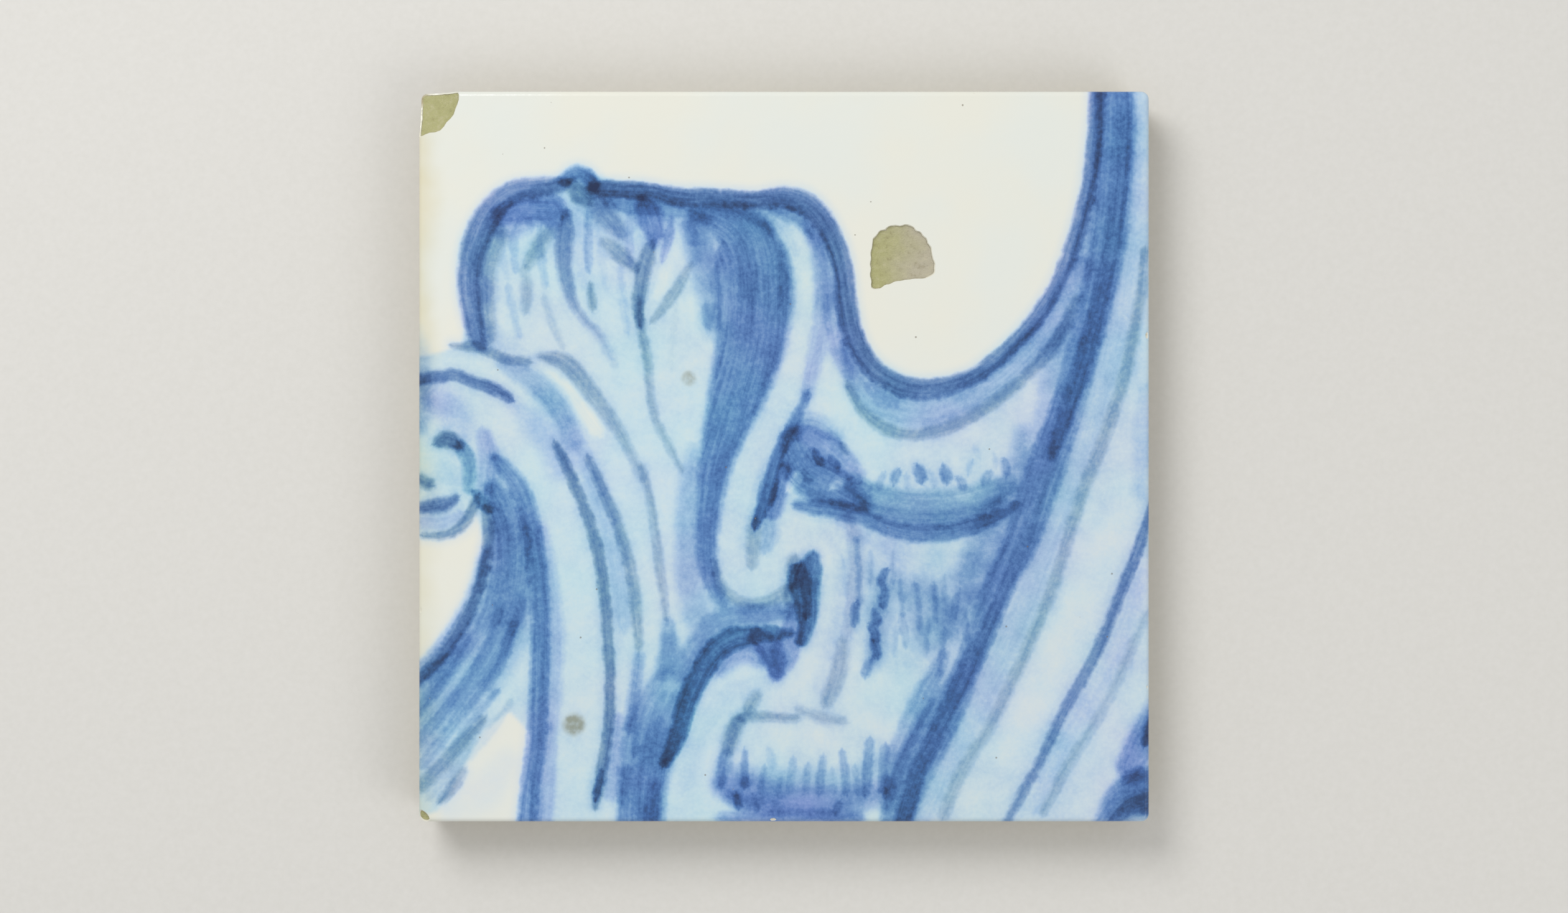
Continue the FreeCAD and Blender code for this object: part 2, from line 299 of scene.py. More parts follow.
    brush(0.18, 1.7, VIOLET, (87, 46.6, 0.8), (85.6, 50, 1.5), (84.6, 53.4, 1.6), (83.6, 56.6, 0.9)),
    brush((0.16, 0.38), 0.8, PLAIN, (85.3, 55.6, 0.4), (84.4, 58.4, 0.8), (83.1, 61.4, 1.1), (81.3, 65.4),
          (79.4, 69.8), (77.7, 74, 1.2), (75.7, 78, 1.3), (73.6, 82, 1.2), (71.6, 86, 1.1), (69.7, 90),
          (67.9, 94), (65.9, 101, 1.2)),
    brush(0.06, 0.9, VIOLET, (93.6, 6, 0.6), (93.4, 11, 0.9), (92.9, 16, 0.6)),
    brush(0.14, 0.8, PLAIN, (91.9, 13, 0.5), (91.3, 17, 0.7), (90.4, 21, 0.8), (89.4, 24.4, 0.5)),
    brush(0.26, 1.7, PLAIN, (82.6, 47, 1), (82.2, 51, 1.4), (80.8, 55, 1.9), (79, 59, 2.4), (77.2, 63, 2.7),
          (75.6, 67, 2.6), (74.2, 70.5, 2.1), (73, 74, 1.6)),
    brush(0.02, 1.2, VIOLET, (76, 61.6, 1), (79, 62, 1.3)),
    brush((0.14, 0.02), 1, PLAIN, (75.6, 69, 0.9), (78.4, 68.6, 1.1)),
    brush((0.28, 0.18), 0.9, PLAIN, (71.8, 77, 0.6), (71, 79, 0.9), (69.4, 82, 1.3), (67.7, 86, 1.5),
          (66, 90, 1.4), (64.8, 94, 1.2), (64.2, 97.4, 0.8)),
    # bands and lines to the right of the scroll
    brush(0.1, 1, PLAIN, (98, 4, 0.8), (97.7, 14, 0.9), (97, 21, 1.1), (96, 28, 1.4), (94.9, 34, 1.6),
          (93.3, 40, 1.7), (91.6, 46), (89.6, 52, 1.6), (87.4, 58), (85.2, 64), (82.9, 70), (80.2, 76),
          (77.3, 82), (74.4, 88, 1.5), (71.4, 94), (69, 99, 1.3)),
    brush((0.26, 0.18), 0.8, GREY, (99.3, 22, 0.4), (98.7, 28, 0.65), (97.8, 33, 0.75), (96.7, 38.5),
          (95.1, 43.5), (93.2, 49), (91.4, 53.3), (89.9, 57.8, 0.7), (88.5, 62.2), (87.2, 66.4),
          (85.8, 70.2), (83.5, 75.6, 0.65), (81.2, 80.6), (78, 87, 0.75), (74.4, 92.8, 0.8),
          (71.8, 99, 0.7)),
    brush((0.46, 0.33), 0.6, DUSK, (100.6, 56, 0.34), (99.4, 59.6, 0.59), (97.9, 63.9, 0.68), (96.4, 67.6),
          (94.7, 72), (92.9, 76.2, 0.72), (90.8, 80.4, 0.68), (88.7, 84), (86.8, 87.8, 0.64),
          (84.9, 91.7, 0.59), (82.8, 95.6), (80.4, 100, 0.51)),
    brush(0.06, 1, VIOLET, (99, 66, 0.8), (96.8, 73, 1), (93.8, 79.5, 1.1), (90.5, 85.5), (87, 92, 1),
          (84.5, 98, 0.8)),
    brush((0.14, 0.18), 0.7, GREY, (99.5, 71.7, 0.45), (97.3, 76.7, 0.65), (95.1, 81.7, 0.6), (92.3, 86.7),
          (89.5, 91.1, 0.65), (87.3, 95, 0.6), (85.5, 98.6, 0.45)),
    brush(0.06, 0.9, GREY, (99.3, 2, 0.6), (99.4, 12, 0.8), (99.2, 22, 0.7)),
    brush(-0.05, 2, PLAIN, (97, 56, 1.2), (91.5, 68, 2.2), (85.6, 80), (80.4, 91, 1.6)),
    brush(0.08, 1.4, PLAIN, (99.6, 41, 0.9), (99.2, 48, 1.2), (98.6, 55, 0.8)),
    # dark leaf tip in the lower right corner
    brush((0.3, 0.56), 1.3, PLAIN, (93.2, 100.8, 0.8), (94.8, 98.4, 1.6), (96.8, 96.6, 2.4),
          (98.8, 95.8, 2.9), (101.4, 95.4, 3)),
    brush(0.26, 1.2, GREY, (95.2, 99.4, 0.8), (97.4, 98.2, 1.5), (99.4, 97.6, 1.8), (101.4, 97.2)),
    brush((0.26, 0.34), 1.4, VIOLET, (101, 84.4, 1.2), (99.8, 87, 1.8), (98.6, 89.8, 2), (97.4, 92.4, 1.8)),
    brush(0.58, 0.7, PLAIN, (100.4, 85.8, 0.5), (99.8, 87.6, 0.7), (99.4, 89, 0.4)),
    # hatched crescent
    brush(0.42, 0.8, PLAIN, (52, 56.6, 0.6), (54.5, 57, 1), (57.5, 57.3, 1.1), (60.4, 58.1),
          (62.6, 59.1, 1), (65, 60), (68, 60.5, 1.1), (72.4, 60.3), (75.5, 59.5), (77.6, 58.8, 0.9),
          (79.6, 57.9, 0.7), (81.6, 56.6, 0.4)),
    brush(0.24, 1.2, TEAL, (59.5, 54, 1.4), (62, 55.6, 1.9), (66, 56.6, 2), (70, 56.9, 2.1), (74, 56.5),
          (78, 55.3, 1.8), (80.6, 54, 1.2)),
    brush(0.14, 1.1, PLAIN, (61, 56.8, 0.8), (65, 58.2, 1.2), (70, 58.7, 1.3), (75, 58), (79, 56.4, 0.9)),
    brush(0.44, 1.2, PLAIN, (50.6, 47.6, 0.9), (51.6, 50, 1.9), (53, 52.2, 2.6), (55.4, 53.6, 2.7),
          (58, 54.9, 2.1), (60.4, 56.2, 1.2)),
    brush((0.34, 0.2), 0.9, VIOLET, (52.2, 46.6, 0.8), (54, 47.5, 1.3), (56, 48.8, 1.7), (58, 50.6, 1.6),
          (59.8, 52.4, 1.1)),
    brush(0.2, 1.5, PLAIN, (51.4, 46.6, 0.7), (53, 45.4, 1), (55, 45.9), (57, 47.4, 0.7)),
    brush(0.34, 0.9, VIOLET, (50.2, 51.8, 0.8), (49.5, 54.6, 1), (48.6, 57.5, 0.9)),
    brush(-0.02, 1.2, PLAIN, (50.6, 49, 1), (51.4, 52.5, 1.9), (53.5, 55, 1.8), (56.5, 56.2, 1.1)),
    brush((-0.24, -0.32), 0.6, PLAIN, (50.6, 54.3, 0.5), (51.7, 52.8, 0.7)),
    brush(-0.3, 0.7, PLAIN, (57, 53.9, 0.65), (57.7, 53.4, 0.78)),
    brush(-0.04, 0.6, PLAIN, (54.4, 54, 0.5), (55.7, 54.2, 0.6)),
    brush(-0.06, 0.6, PLAIN, (74, 55.3, 0.5), (75.2, 55.2)),
    brush(0.44, 0.5, PLAIN, (54.4, 49.7, 0.5), (54.9, 50.6, 0.6)),
    brush(0.18, 0.5, GREY, (58, 48.6, 0.4), (58.5, 49.3, 0.45)),
    brush(0, 0.5, PLAIN, (55.4, 47.2, 0.4), (56.3, 47.7, 0.45)),
    brush(0.16, 0.6, TEAL, (52.6, 52.5, 0.6), (53.6, 53.1)),
    brush(-0.14, 0.5, PLAIN, (58, 54, 0.4), (58.9, 54.8, 0.45)),
    brush(0.04, 0.6, GREY, (54, 55.2, 0.5), (55.1, 55.4)),
    brush(0.3, 0.5, PLAIN, (56.5, 50.4, 0.5), (57.2, 51.2)),
    brush(0.16, 0.5, PLAIN, (60.6, 53.9, 0.4), (61.5, 54.6, 0.45)),
    brush(0.06, 0.5, PLAIN, (53.2, 48.5, 0.4), (53.7, 49.2)),
    # middle right: washes beside the hook
    brush(0.24, 2, PLAIN, (66, 67.5, 1.4), (68.5, 69.4, 2.8), (70, 72, 3.2), (69.6, 75, 2)),
    brush((0.04, 0.08), 2.2, PLAIN, (60.5, 70, 1.5), (62, 75, 2.2), (65, 78, 2.4), (68.5, 78.5, 1.8)),
    brush(0.08, 2.2, PLAIN, (64, 63, 1.5), (67.5, 64.5, 2.4), (72, 65, 2.6), (75.5, 64, 1.8)),
    brush(0.05, 1.8, VIOLET, (60.6, 60.6, 1), (63, 62.4, 1.7), (64.6, 65.4, 1.6)),
    brush((-0.04, 0.08), 1.7, PLAIN, (75.6, 72.4, 0.8), (74, 75.6, 1.3), (72.6, 78.6, 1.2),
          (71.2, 81, 0.8)),
    brush(0.2, 1.6, PLAIN, (62, 65.5, 1), (63.2, 69, 1.7), (63.2, 74, 1.5), (62.2, 78, 1)),
    brush(0.14, 1, DUSK, (59, 58.5, 0.5), (59.7, 62, 0.9), (59.9, 66, 1), (59.6, 70, 0.9), (58.8, 74, 0.7)),
    brush(0.07, 1.2, VIOLET, (57.6, 59, 0.8), (59.4, 60.6, 1.2), (61, 61.4, 0.8)),
    brush((0.2, 0.24), 1, GREY, (58, 75.6, 0.6), (57.8, 78, 1), (56.8, 81.2), (55.8, 83.5, 0.7)),
    brush(0.06, 1.6, PLAIN, (55.6, 60.5, 0.5), (57.4, 63, 0.9), (57.9, 67, 1), (57.4, 72), (56.2, 77),
          (54.4, 81.5, 0.8)),
    brush(0.18, 0.9, GREY, (52, 84.6, 0.5), (55, 85.6, 0.7), (58, 86.2, 0.5)),
    # dark hook and the violet patch at its foot
    brush(0.52, 0.7, TEAL, (53.8, 64, 1), (53.5, 65.4, 1.8), (52.7, 66.8, 2.3), (53, 68.8, 1.8),
          (53.2, 71, 1.4), (53, 73.4, 1.1), (52.4, 75, 0.8)),
    brush(0.4, 0.6, PLAIN, (52.4, 65.4, 0.8), (52.7, 67, 1.2), (53.1, 69, 0.7), (53.1, 71.5, 0.5)),
    brush((0.22, 0.1), 0.7, GREY, (51.3, 64.2, 0.8), (51, 65.6, 0.9), (51.4, 67, 0.8)),
    brush(0.22, 0.8, GREY, (50.6, 67.8, 0.6), (50.9, 69.6, 0.8)),
    brush(0.24, 0.9, VIOLET, (51.5, 71, 1.1), (51.3, 73.2, 1.5), (50.6, 75.4, 1.7), (49.8, 77.6),
          (49, 79.4, 1.1)),
    brush(0.34, 0.8, VIOLET, (46.4, 74.6, 1.1), (47.8, 76, 1.6), (48.6, 77.8), (48.9, 79.4, 1)),
    brush(0.2, 1.3, VIOLET, (41.4, 79.2, 0.7), (43, 77.2, 1.4), (45.2, 76.4, 1.7), (46.8, 77.4, 1.4)),
    # arch from the hook to the stem
    brush((0.52, 0.68), 0.7, TEAL, (50.8, 74.2, 0.5), (48.3, 74.2, 0.9), (45.8, 74.4, 1.2),
          (43.9, 74.7, 1.5), (41.9, 75.5, 1.6), (40.2, 77, 1.5), (38.7, 79.4, 1.4), (37.4, 82, 1.3),
          (36.4, 84.6, 1.2), (35.6, 87.4, 1.1), (34.8, 89.8, 1), (33.8, 91.8, 0.6)),
    brush(-0.1, 0.5, PLAIN, (44, 75, 0.4), (45.6, 75.1, 0.55), (47, 75.2, 0.4)),
    brush((0.28, 0.24), 1.1, PLAIN, (50, 71.4, 1.1), (47, 71.6, 1.3), (44, 71.7, 1.4), (41.6, 72.3, 1.5),
          (39.6, 73.8, 1.4), (37.8, 76.4, 1.3), (36, 79.6, 1)),
    brush(0.1, 0.8, VIOLET, (45, 71.2, 0.8), (47.5, 71.4, 1), (49.5, 71.2, 0.7)),
    brush(0.03, 1.4, PLAIN, (38.2, 69, 1), (38.6, 72, 1.4), (38.2, 75, 1.2)),
    # stem
    brush((0.14, 0.4), 1.1, PLAIN, (36, 78.4, 1.2), (35, 80, 2), (33.5, 82.8, 2.7), (32.2, 85.6, 3.2),
          (31.4, 89, 3.4), (31, 92.5, 3.3), (30.6, 96, 3.2), (30.3, 100.5, 3)),
    brush(0.12, 1.1, PLAIN, (32.6, 87, 1), (31.8, 91, 1.6), (31.2, 94.5, 1.8), (31, 98, 1.5)),
    brush(0.2, 0.8, VIOLET, (32.4, 95, 0.6), (32, 97.6, 0.9), (31.8, 100, 0.8)),
    brush(0.16, 0.8, PLAIN, (28.6, 93, 0.5), (28.2, 95.4, 0.8), (28, 97.4, 0.5)),
    brush(0.26, 0.9, PLAIN, (30.2, 77.5, 0.6), (29.6, 82, 0.7), (28.8, 87)),
    brush(0.12, 1.3, PLAIN, (33.8, 83, 0.9), (32.4, 87, 1.4), (31, 91, 1.3)),
    brush((0.16, 0.04), 1.5, PLAIN, (34.6, 75.6, 0.8), (34.4, 78, 1.3), (33.2, 81)),
    brush(0.18, 1.1, VIOLET, (27.2, 86, 0.6), (26.9, 91, 0.9), (26.6, 96, 1)),
    brush((0.04, 0.2), 0.7, PLAIN, (30.6, 84, 0.4), (29.9, 87, 0.6), (29.6, 90.5, 0.4)),
    # stems on the left, and painted shade along the left edge
    brush((0.36, 0.48), 0.8, PLAIN, (10.6, 50.4, 0.6), (12, 51.8, 1), (13.6, 53.9, 1.2), (14.8, 56.8),
          (15.5, 60), (16.1, 64), (16.5, 68), (16.7, 72), (16.7, 76), (16.6, 80), (16.4, 85), (16, 90),
          (15.3, 95), (14.7, 101)),
    brush(0.14, 1.1, VIOLET, (17, 60, 0.7), (18, 67, 1), (18.6, 74, 1.1), (18.5, 80), (18.2, 86, 1)),
    brush(0.18, 1, VIOLET, (18, 87.5, 0.8), (17.6, 94, 1.1), (17.2, 100)),
    brush((0.4, 0.38), 0.6, GREY, (18.8, 48.4, 0.42), (20.2, 51.2, 0.64), (21.4, 53.9, 0.68),
          (22.4, 56.3, 0.72), (23.4, 59), (24.3, 62), (25, 65.4, 0.68), (25.5, 69.4), (25.9, 74),
          (26.2, 79), (26.2, 84), (26, 87.4, 0.64), (25.5, 90.6), (25, 93.4, 0.68), (24.6, 95.6, 0.64),
          (24.2, 97.8, 0.34)),
    brush(0.36, 0.35, PLAIN, (25, 93, 0.35), (24.6, 95, 0.55), (24.3, 96.8, 0.3)),
    brush(0.12, 1.1, PLAIN, (22.2, 48.5, 0.7), (24, 53, 1.1), (25.6, 58, 1.3), (26.8, 63), (27.6, 68, 1.2),
          (28, 73, 1)),
    brush((0.04, -0.04), 1, VIOLET, (27.8, 75, 0.8), (27.9, 80, 1), (27.6, 86, 0.8)),
    brush((0.3, 0.24), 0.7, GREY, (23.4, 50.4, 0.4), (25, 54, 0.6), (26.3, 56.8, 0.7), (27.4, 59.6),
          (28.7, 63.8), (29.5, 68.4), (29.9, 72.4), (30.2, 76, 0.5)),
    brush(0.2, 0.6, GREY, (30.6, 51.5, 0.4), (31.5, 55, 0.55), (32.2, 59, 0.6), (32.8, 63, 0.65),
          (33.3, 67, 0.6), (33.7, 70, 0.5), (33.9, 72, 0.3)),
    brush((0.26, 0.18), 1.3, PLAIN, (34.2, 73, 0.6), (34.2, 76, 1), (33.6, 79.5, 0.9)),
    brush((0.34, 0.24), 0.6, GREY, (4.6, 34.8, 0.3), (6.2, 34.9, 0.5), (8, 35.1, 0.65), (9.4, 35.6, 0.6),
          (11, 36.3), (12.6, 36.8), (15, 37, 0.5)),
    brush((0.32, 0.16), 0.8, GREY, (17, 36.4, 0.46), (18.5, 36.6, 0.8), (20, 37.2, 1.03),
          (21.7, 38.8, 1.09), (23.2, 40.8, 1.03), (24.8, 42.8, 0.98), (26.3, 44.9, 0.86),
          (27.9, 47.3, 0.69), (29.3, 50.2, 0.57), (30.4, 53, 0.4)),
    brush(0.18, 1.3, PLAIN, (11.6, 37.2, 0.7), (13.4, 38.2, 1.2), (15.6, 39.4, 1.5), (17.6, 41.2, 1.6),
          (19.1, 43.2, 1.5), (20.3, 45.4, 1.3), (21.3, 48, 1)),
    brush(0.08, 1, PLAIN, (16.5, 41, 0.8), (18.6, 42.8, 1), (20.2, 45, 0.8)),
    brush(0.06, 1, VIOLET, (20.2, 45.6, 0.8), (20.8, 48, 1), (21, 51, 0.8)),
    brush(0.12, 1.8, VIOLET, (13.5, 43.5, 1), (16, 45.5, 1.8), (18, 48.5), (19, 52, 1.2)),
    brush(0.1, 2, VIOLET, (2.5, 41, 1.5), (4.5, 43.5, 2.4), (6, 46.4, 1.6)),
    brush(-0.1, 0.8, PLAIN, (16, 38, 0.5), (18.5, 39.3, 0.8), (20.6, 41.2, 0.9), (22.6, 43.8),
          (24.6, 46.6, 0.8)),
    brush(0.52, 0.7, DUSK, (-0.5, 39.6, 0.7), (2, 39.2, 0.65), (3.9, 38.9, 0.7), (5.3, 38.9), (7, 39.6),
          (9.2, 40.3, 0.75), (10.8, 41, 0.7), (12.4, 42, 0.5)),
    brush((0.14, 0.04), 1.5, VIOLET, (2, 42.5, 1.2), (4, 43.3, 1.3), (5.5, 44.4, 0.8)),
    # painted shade: a grey band along the left edge, 33 to 46 percent down, standing in for the shadow at
    # the joint
    brush((0.12, 0.36), 1.6, GREY, (-0.5, 33, 0.9), (0.6, 37, 1.2), (0.6, 43), (0.2, 46, 0.8)),
    brush(0.06, 2.2, PLAIN, (4.6, 98.4, 1.4), (8.6, 96, 2.4), (12, 92, 1.8)),
    # volute at the left edge
    brush(0.5, 0.8, GREY, (3, 48, 0.8), (4, 47.7, 1.1), (5.2, 48.3, 0.8)),
    brush((0.4, 0.26), 0.8, TEAL, (5.8, 48.6, 0.7), (6.7, 50, 0.9), (7.1, 52, 0.8), (6.9, 54.2, 0.6)),
    brush(0.2, 1, VIOLET, (9, 47.2, 0.9), (9.6, 49.8, 1.4), (9.5, 52.6), (9.2, 54.6, 0.9)),
    brush(0.06, 1.6, PLAIN, (3.5, 52, 1.4), (5, 53.6)),
    brush(0.5, 0.9, DUSK, (0.6, 57, 0.69), (2.4, 56.8, 0.86), (4, 56.4, 0.8), (5, 55.8, 0.4)),
    brush(0.4, 0.8, GREY, (0.2, 53.2, 0.7), (1.4, 53.8)),
    brush(0.12, 0.8, VIOLET, (0.8, 58.9, 0.8), (3.5, 58.9), (5.6, 58, 0.6)),
    brush(0.34, 0.6, GREY, (0.8, 60.9, 0.4), (3, 60.9, 0.5), (5, 60.2, 0.65), (6.4, 59.2, 0.7),
          (7.4, 57.4, 0.6), (8, 55.8, 0.5)),
    # leaf at the left edge: body, dark side, and dark and pale streaks that fan out
    brush((0.44, 0.16), 1.2, PLAIN, (10.4, 54.5, 1), (11.8, 57.5, 1.9), (12.6, 61, 2.3), (12.7, 65, 2.6),
          (12, 69, 2.8), (10.6, 73, 2.9), (8.4, 77), (5.6, 81, 2.7), (2.6, 84.8, 2.4), (-0.6, 88.4, 2.2)),
    brush((0.42, 0.5), 0.6, TEAL, (7.8, 55, 0.4), (8.6, 55.9, 0.8), (9.6, 57.2, 0.6)),
    brush((0.36, 0.32), 0.6, GREY, (9.2, 57, 0.5), (9.6, 59.5, 0.7), (9.5, 62.5), (8.9, 66),
          (7.8, 69.4, 0.75), (6.3, 72.4, 0.8), (4.3, 75.5, 0.75), (2.2, 78.3, 0.65), (-0.5, 80.9, 0.5)),
    brush(0.3, 1, PLAIN, (9.2, 63, 0.6), (7.6, 69, 0.9), (5, 74.2, 1.2), (2, 78, 1.3), (-1.4, 81)),
    brush(0.12, 1, PLAIN, (11.4, 57.5, 0.6), (12.2, 62, 1), (12, 67), (10.8, 72, 0.8)),
    brush(0.2, 0.9, PLAIN, (6.4, 75.2, 0.6), (4.2, 78, 1.1), (1.8, 81.4, 1.3), (-0.6, 84.4)),
    brush((0.3, 0.4), 0.8, GREY, (6.2, 93.2, 0.4), (4.8, 95.2, 0.7), (3.2, 97, 0.5)),
    brush(0.02, 0.5, PLAIN, (10.6, 66, 0.4), (9.6, 70.5, 0.6), (7.6, 74.6, 0.7), (5, 78.2), (2, 81.4),
          (-0.5, 83.4, 0.6)),
    brush(0.14, 0.5, PLAIN, (11.4, 71, 0.5), (9.8, 75, 0.7), (7, 79.8), (4, 84), (1, 87.8),
          (-0.6, 89.6, 0.6)),
    brush(0.2, 0.6, PLAIN, (13, 73, 0.5), (11.6, 77.4, 0.7), (9, 81.6), (6, 85.4), (3, 89.2),
          (0.6, 92, 0.6)),
    brush(0.1, 0.6, GREY, (12.6, 83.6, 0.4), (10.4, 86.8, 0.6), (7.4, 90.4), (4.4, 93.6), (1.6, 96.6, 0.5)),
    brush(0.3, 0.9, GREY, (8.8, 86, 0.4), (6.2, 88.9, 0.8), (3.4, 92, 0.9), (0.6, 95, 0.8)),
    brush((0.3, 0.16), 1.7, PLAIN, (14.4, 70, 1.2), (13.6, 74, 1.4), (12, 78, 1.3), (10, 82, 1)),
    brush(-0.1, 0.7, PLAIN, (9.4, 74, 0.4), (7.4, 77.6, 0.55), (4.6, 81.6), (2, 84.8, 0.5)),
    brush((-0.06, 0.02), 0.7, PLAIN, (11, 76.4, 0.4), (8.4, 80.6, 0.55), (5.4, 84.6), (2.4, 88.2, 0.5)),
    brush((0.2, 0.1), 0.5, PLAIN, (10.8, 82, 0.4), (7.8, 85.6, 0.5), (4.8, 89.2)),
    # hatched foot, and a violet band along the bottom edge
    brush((0.36, 0.34), 1.7, VIOLET, (41.6, 95, 1.2), (44, 95.8, 1.9), (48, 96.6, 2.1), (52, 97, 2),
          (57, 97, 1.8), (61, 96.5, 1.7), (64, 95.4, 1.3)),
    brush((0.26, 0.1), 1.2, VIOLET, (42.4, 96.4, 0.6), (45, 97.2, 1.1), (48.4, 97.6, 1.2), (53, 97.8, 1),
          (58.5, 98, 0.7)),
    # a violet band along the very bottom edge of the face, 41 to 60 percent across
    brush((0.28, 0.38), 1.2, VIOLET, (41.6, 99.4, 0.6), (46, 99.5, 0.8), (53, 99.6, 0.9), (60, 99.6, 0.8)),
    brush((0.2, 0.1), 1.7, PLAIN, (42, 92.8, 1.2), (48, 94.2, 1.3), (54, 94.4, 1.4), (60, 93.6, 1.5),
          (63.5, 91.5, 1.2)),
    brush(0.18, 0.9, TEAL, (41, 94.6, 0.7), (41.6, 92.6, 1), (42.2, 90.6, 0.7)),
    brush(0.36, 1.2, GREY, (42.4, 90, 0.7), (42.9, 88, 0.9), (43.6, 86.2, 0.7)),
    brush((0.32, 0.22), 1, GREY, (45.2, 84.3, 0.6), (46.1, 82.8, 0.7)),
    brush(0.26, 0.7, GREY, (44, 85.7, 0.5), (47.5, 85.5, 0.6), (51.5, 85.8, 0.5)),
    brush(0.04, 0.9, PLAIN, (36.5, 95, 1), (37.7, 90, 1.3), (39.6, 86), (42.6, 82.5), (47, 81, 1.2)),
]

# Upright strokes of hatching: x, upper y, lower y, half-width, pigment
HATCHES = [
    (60.2, 61.5, 70, 0.4, 0.16), (59.7, 70.4, 72.6, 0.6, 0.26), (63.5, 65.8, 67.2, 0.6, 0.34),
    (63.6, 68.2, 70.2, 0.6, 0.38), (62.6, 71.2, 72.6, 0.6, 0.36), (62.4, 73.4, 74.8, 0.65, 0.38),
    (62.5, 75.6, 77, 0.6, 0.36), (61.4, 78, 79.6, 0.6, 0.28), (64.9, 63.5, 67, 0.35, 0.12),
    (66.1, 67.2, 71.5, 0.35, 0.14), (68.3, 67.6, 73.2, 0.4, 0.17), (70.7, 67.8, 72.4, 0.4, 0.18),
    (73.5, 68.6, 71.8, 0.5, 0.14), (71.5, 74, 79.5, 0.4, 0.14), (66.4, 71.6, 75.6, 0.5, 0.16),
    (69.6, 72.8, 76.4, 0.35, 0.11), (71.9, 66.4, 69.6, 0.35, 0.12), (74.8, 71, 74.8, 0.4, 0.14),
    (65.2, 72.8, 77, 0.35, 0.1), (61.8, 63.2, 67.2, 0.35, 0.12), (58.4, 64, 69, 0.35, 0.08),
    (65.2, 52.2, 53.2, 0.65, 0.24), (68.6, 51.7, 52.9, 0.8, 0.34), (72.1, 51.8, 53, 0.75, 0.32),
    (74.3, 53.2, 54, 0.6, 0.22), (77.6, 52.4, 53.4, 0.6, 0.18), (80.2, 50.8, 52.2, 0.6, 0.22),
    (75.3, 50.9, 52.2, 0.4, 0.12), (70.4, 52.4, 53.8, 0.4, 0.12), (66.8, 52.8, 54, 0.4, 0.1),
    (63.3, 52.4, 54.2, 0.45, 0.14), (78.9, 49.8, 51.2, 0.35, 0.08), (76.4, 48.8, 49.8, 0.35, 0.07),
    (41.4, 91, 95, 0.5, 0.14), (44.6, 90.4, 94.8, 0.5, 0.28), (47, 92.6, 95.6, 0.4, 0.14),
    (48.3, 90.2, 92.2, 0.5, 0.1), (51, 91.4, 95.6, 0.5, 0.15), (53, 92.4, 95.8, 0.45, 0.14),
    (55, 91.2, 95.8, 0.55, 0.2), (58.3, 90.6, 95.8, 0.55, 0.2), (56.7, 93, 96, 0.35, 0.1),
    (61.4, 89, 95.8, 0.65, 0.22), (63.6, 89.8, 95.6, 0.6, 0.22), (43.7, 96.4, 97.6, 0.55, 0.3),
    (49.4, 94, 96.4, 0.35, 0.1), (59.9, 92.6, 96, 0.35, 0.12), (46.2, 96.6, 98, 0.4, 0.12),
    (57.2, 97.4, 98.6, 0.5, 0.2),
]

# Pale ground under the whole ornament
GROUND = [(-2, 37), (6, 35), (6.6, 30), (6.8, 23), (9.5, 16.5), (16, 13), (22, 11.2), (30, 13), (40, 14.5),
          (50, 14), (55, 16.5), (58, 22), (59.5, 31), (62, 37), (67, 40), (72, 40), (79, 37), (85, 31),
          (89, 23), (91.5, 14), (92.5, -2), (102, -2), (102, 102), (15.2, 102), (15.2, 94), (15.6, 88),
          (12.5, 84.8), (9, 87.5), (5.5, 93.5), (2.5, 98.5), (-2, 100), (-2, 81), (4, 76.5), (8, 70),
          (9, 62), (8, 57.5), (5, 60.8), (-2, 61.3)]


def spline(points, step):
    """Points about step apart on a smooth line through the given ones, each (x, y, half-width)."""
    known = np.array(points, float)
    ends = (2 * known[0] - known[1], 2 * known[-1] - known[-2])
    padded = np.vstack([ends[0], known, ends[1]])
    runs = []
    for before, start, end, after in zip(padded, padded[1:], padded[2:], padded[3:]):
        count = max(2, int(np.hypot(*(end - start)[:2]) / step) + 1)
        t = np.linspace(0, 1, count, endpoint=False)[:, None]
        runs.append(0.5 * (2 * start + (end - before) * t
                           + (2 * before - 5 * start + 4 * end - after) * t ** 2
                           + (3 * start - before - 3 * end + after) * t ** 3))
    return np.vstack(runs + [known[-1:]])


def on_face(points):
    """Percent of the face, y down, to millimetres about its middle, y up. A half-width is scaled."""
    scaled = np.array(points, float) * FACE / 100
    scaled[:, 0] -= FACE / 2
    scaled[:, 1] = FACE / 2 - scaled[:, 1]
    return scaled


def smooth_step(low, high, value):
    """0 at low, 1 at high and smooth between."""
    share = np.clip((value - low) / (high - low), 0, 1)
    return share * share * (3 - 2 * share)


def lumps(places, per_mm, offset):
    """Seeded soft noise of about -0.5 to 0.5 at each place."""
    shift = Vector((offset, 2.3 * offset, 0.7 * offset))
    return np.array([0.5 * noise.noise(Vector(place) * per_mm + shift) for place in places])


def around_corner(x, y, inner):
    """Pulls grid points that lie in a corner's square onto rings about its centre.

    Gives the new places and the direction that leads out of the outline there.
    """
    past_x = np.maximum(np.abs(x) - inner, 0)
    past_y = np.maximum(np.abs(y) - inner, 0)
    reach = np.maximum(past_x, past_y)
    share = np.minimum(past_x, past_y) / np.maximum(reach, 1e-9)
    turn = np.where(past_x >= past_y, share, 2 - share) * math.pi / 4
    corner = (past_x > 0) & (past_y > 0)
    out_x = np.where(corner, np.cos(turn), (np.abs(x) >= np.abs(y)).astype(float)) * np.sign(x)
    out_y = np.where(corner, np.sin(turn), (np.abs(x) < np.abs(y)).astype(float)) * np.sign(y)
    new_x = np.where(corner, np.sign(x) * inner + reach * out_x, x)
    new_y = np.where(corner, np.sign(y) * inner + reach * out_y, y)
    return new_x, new_y, out_x, out_y


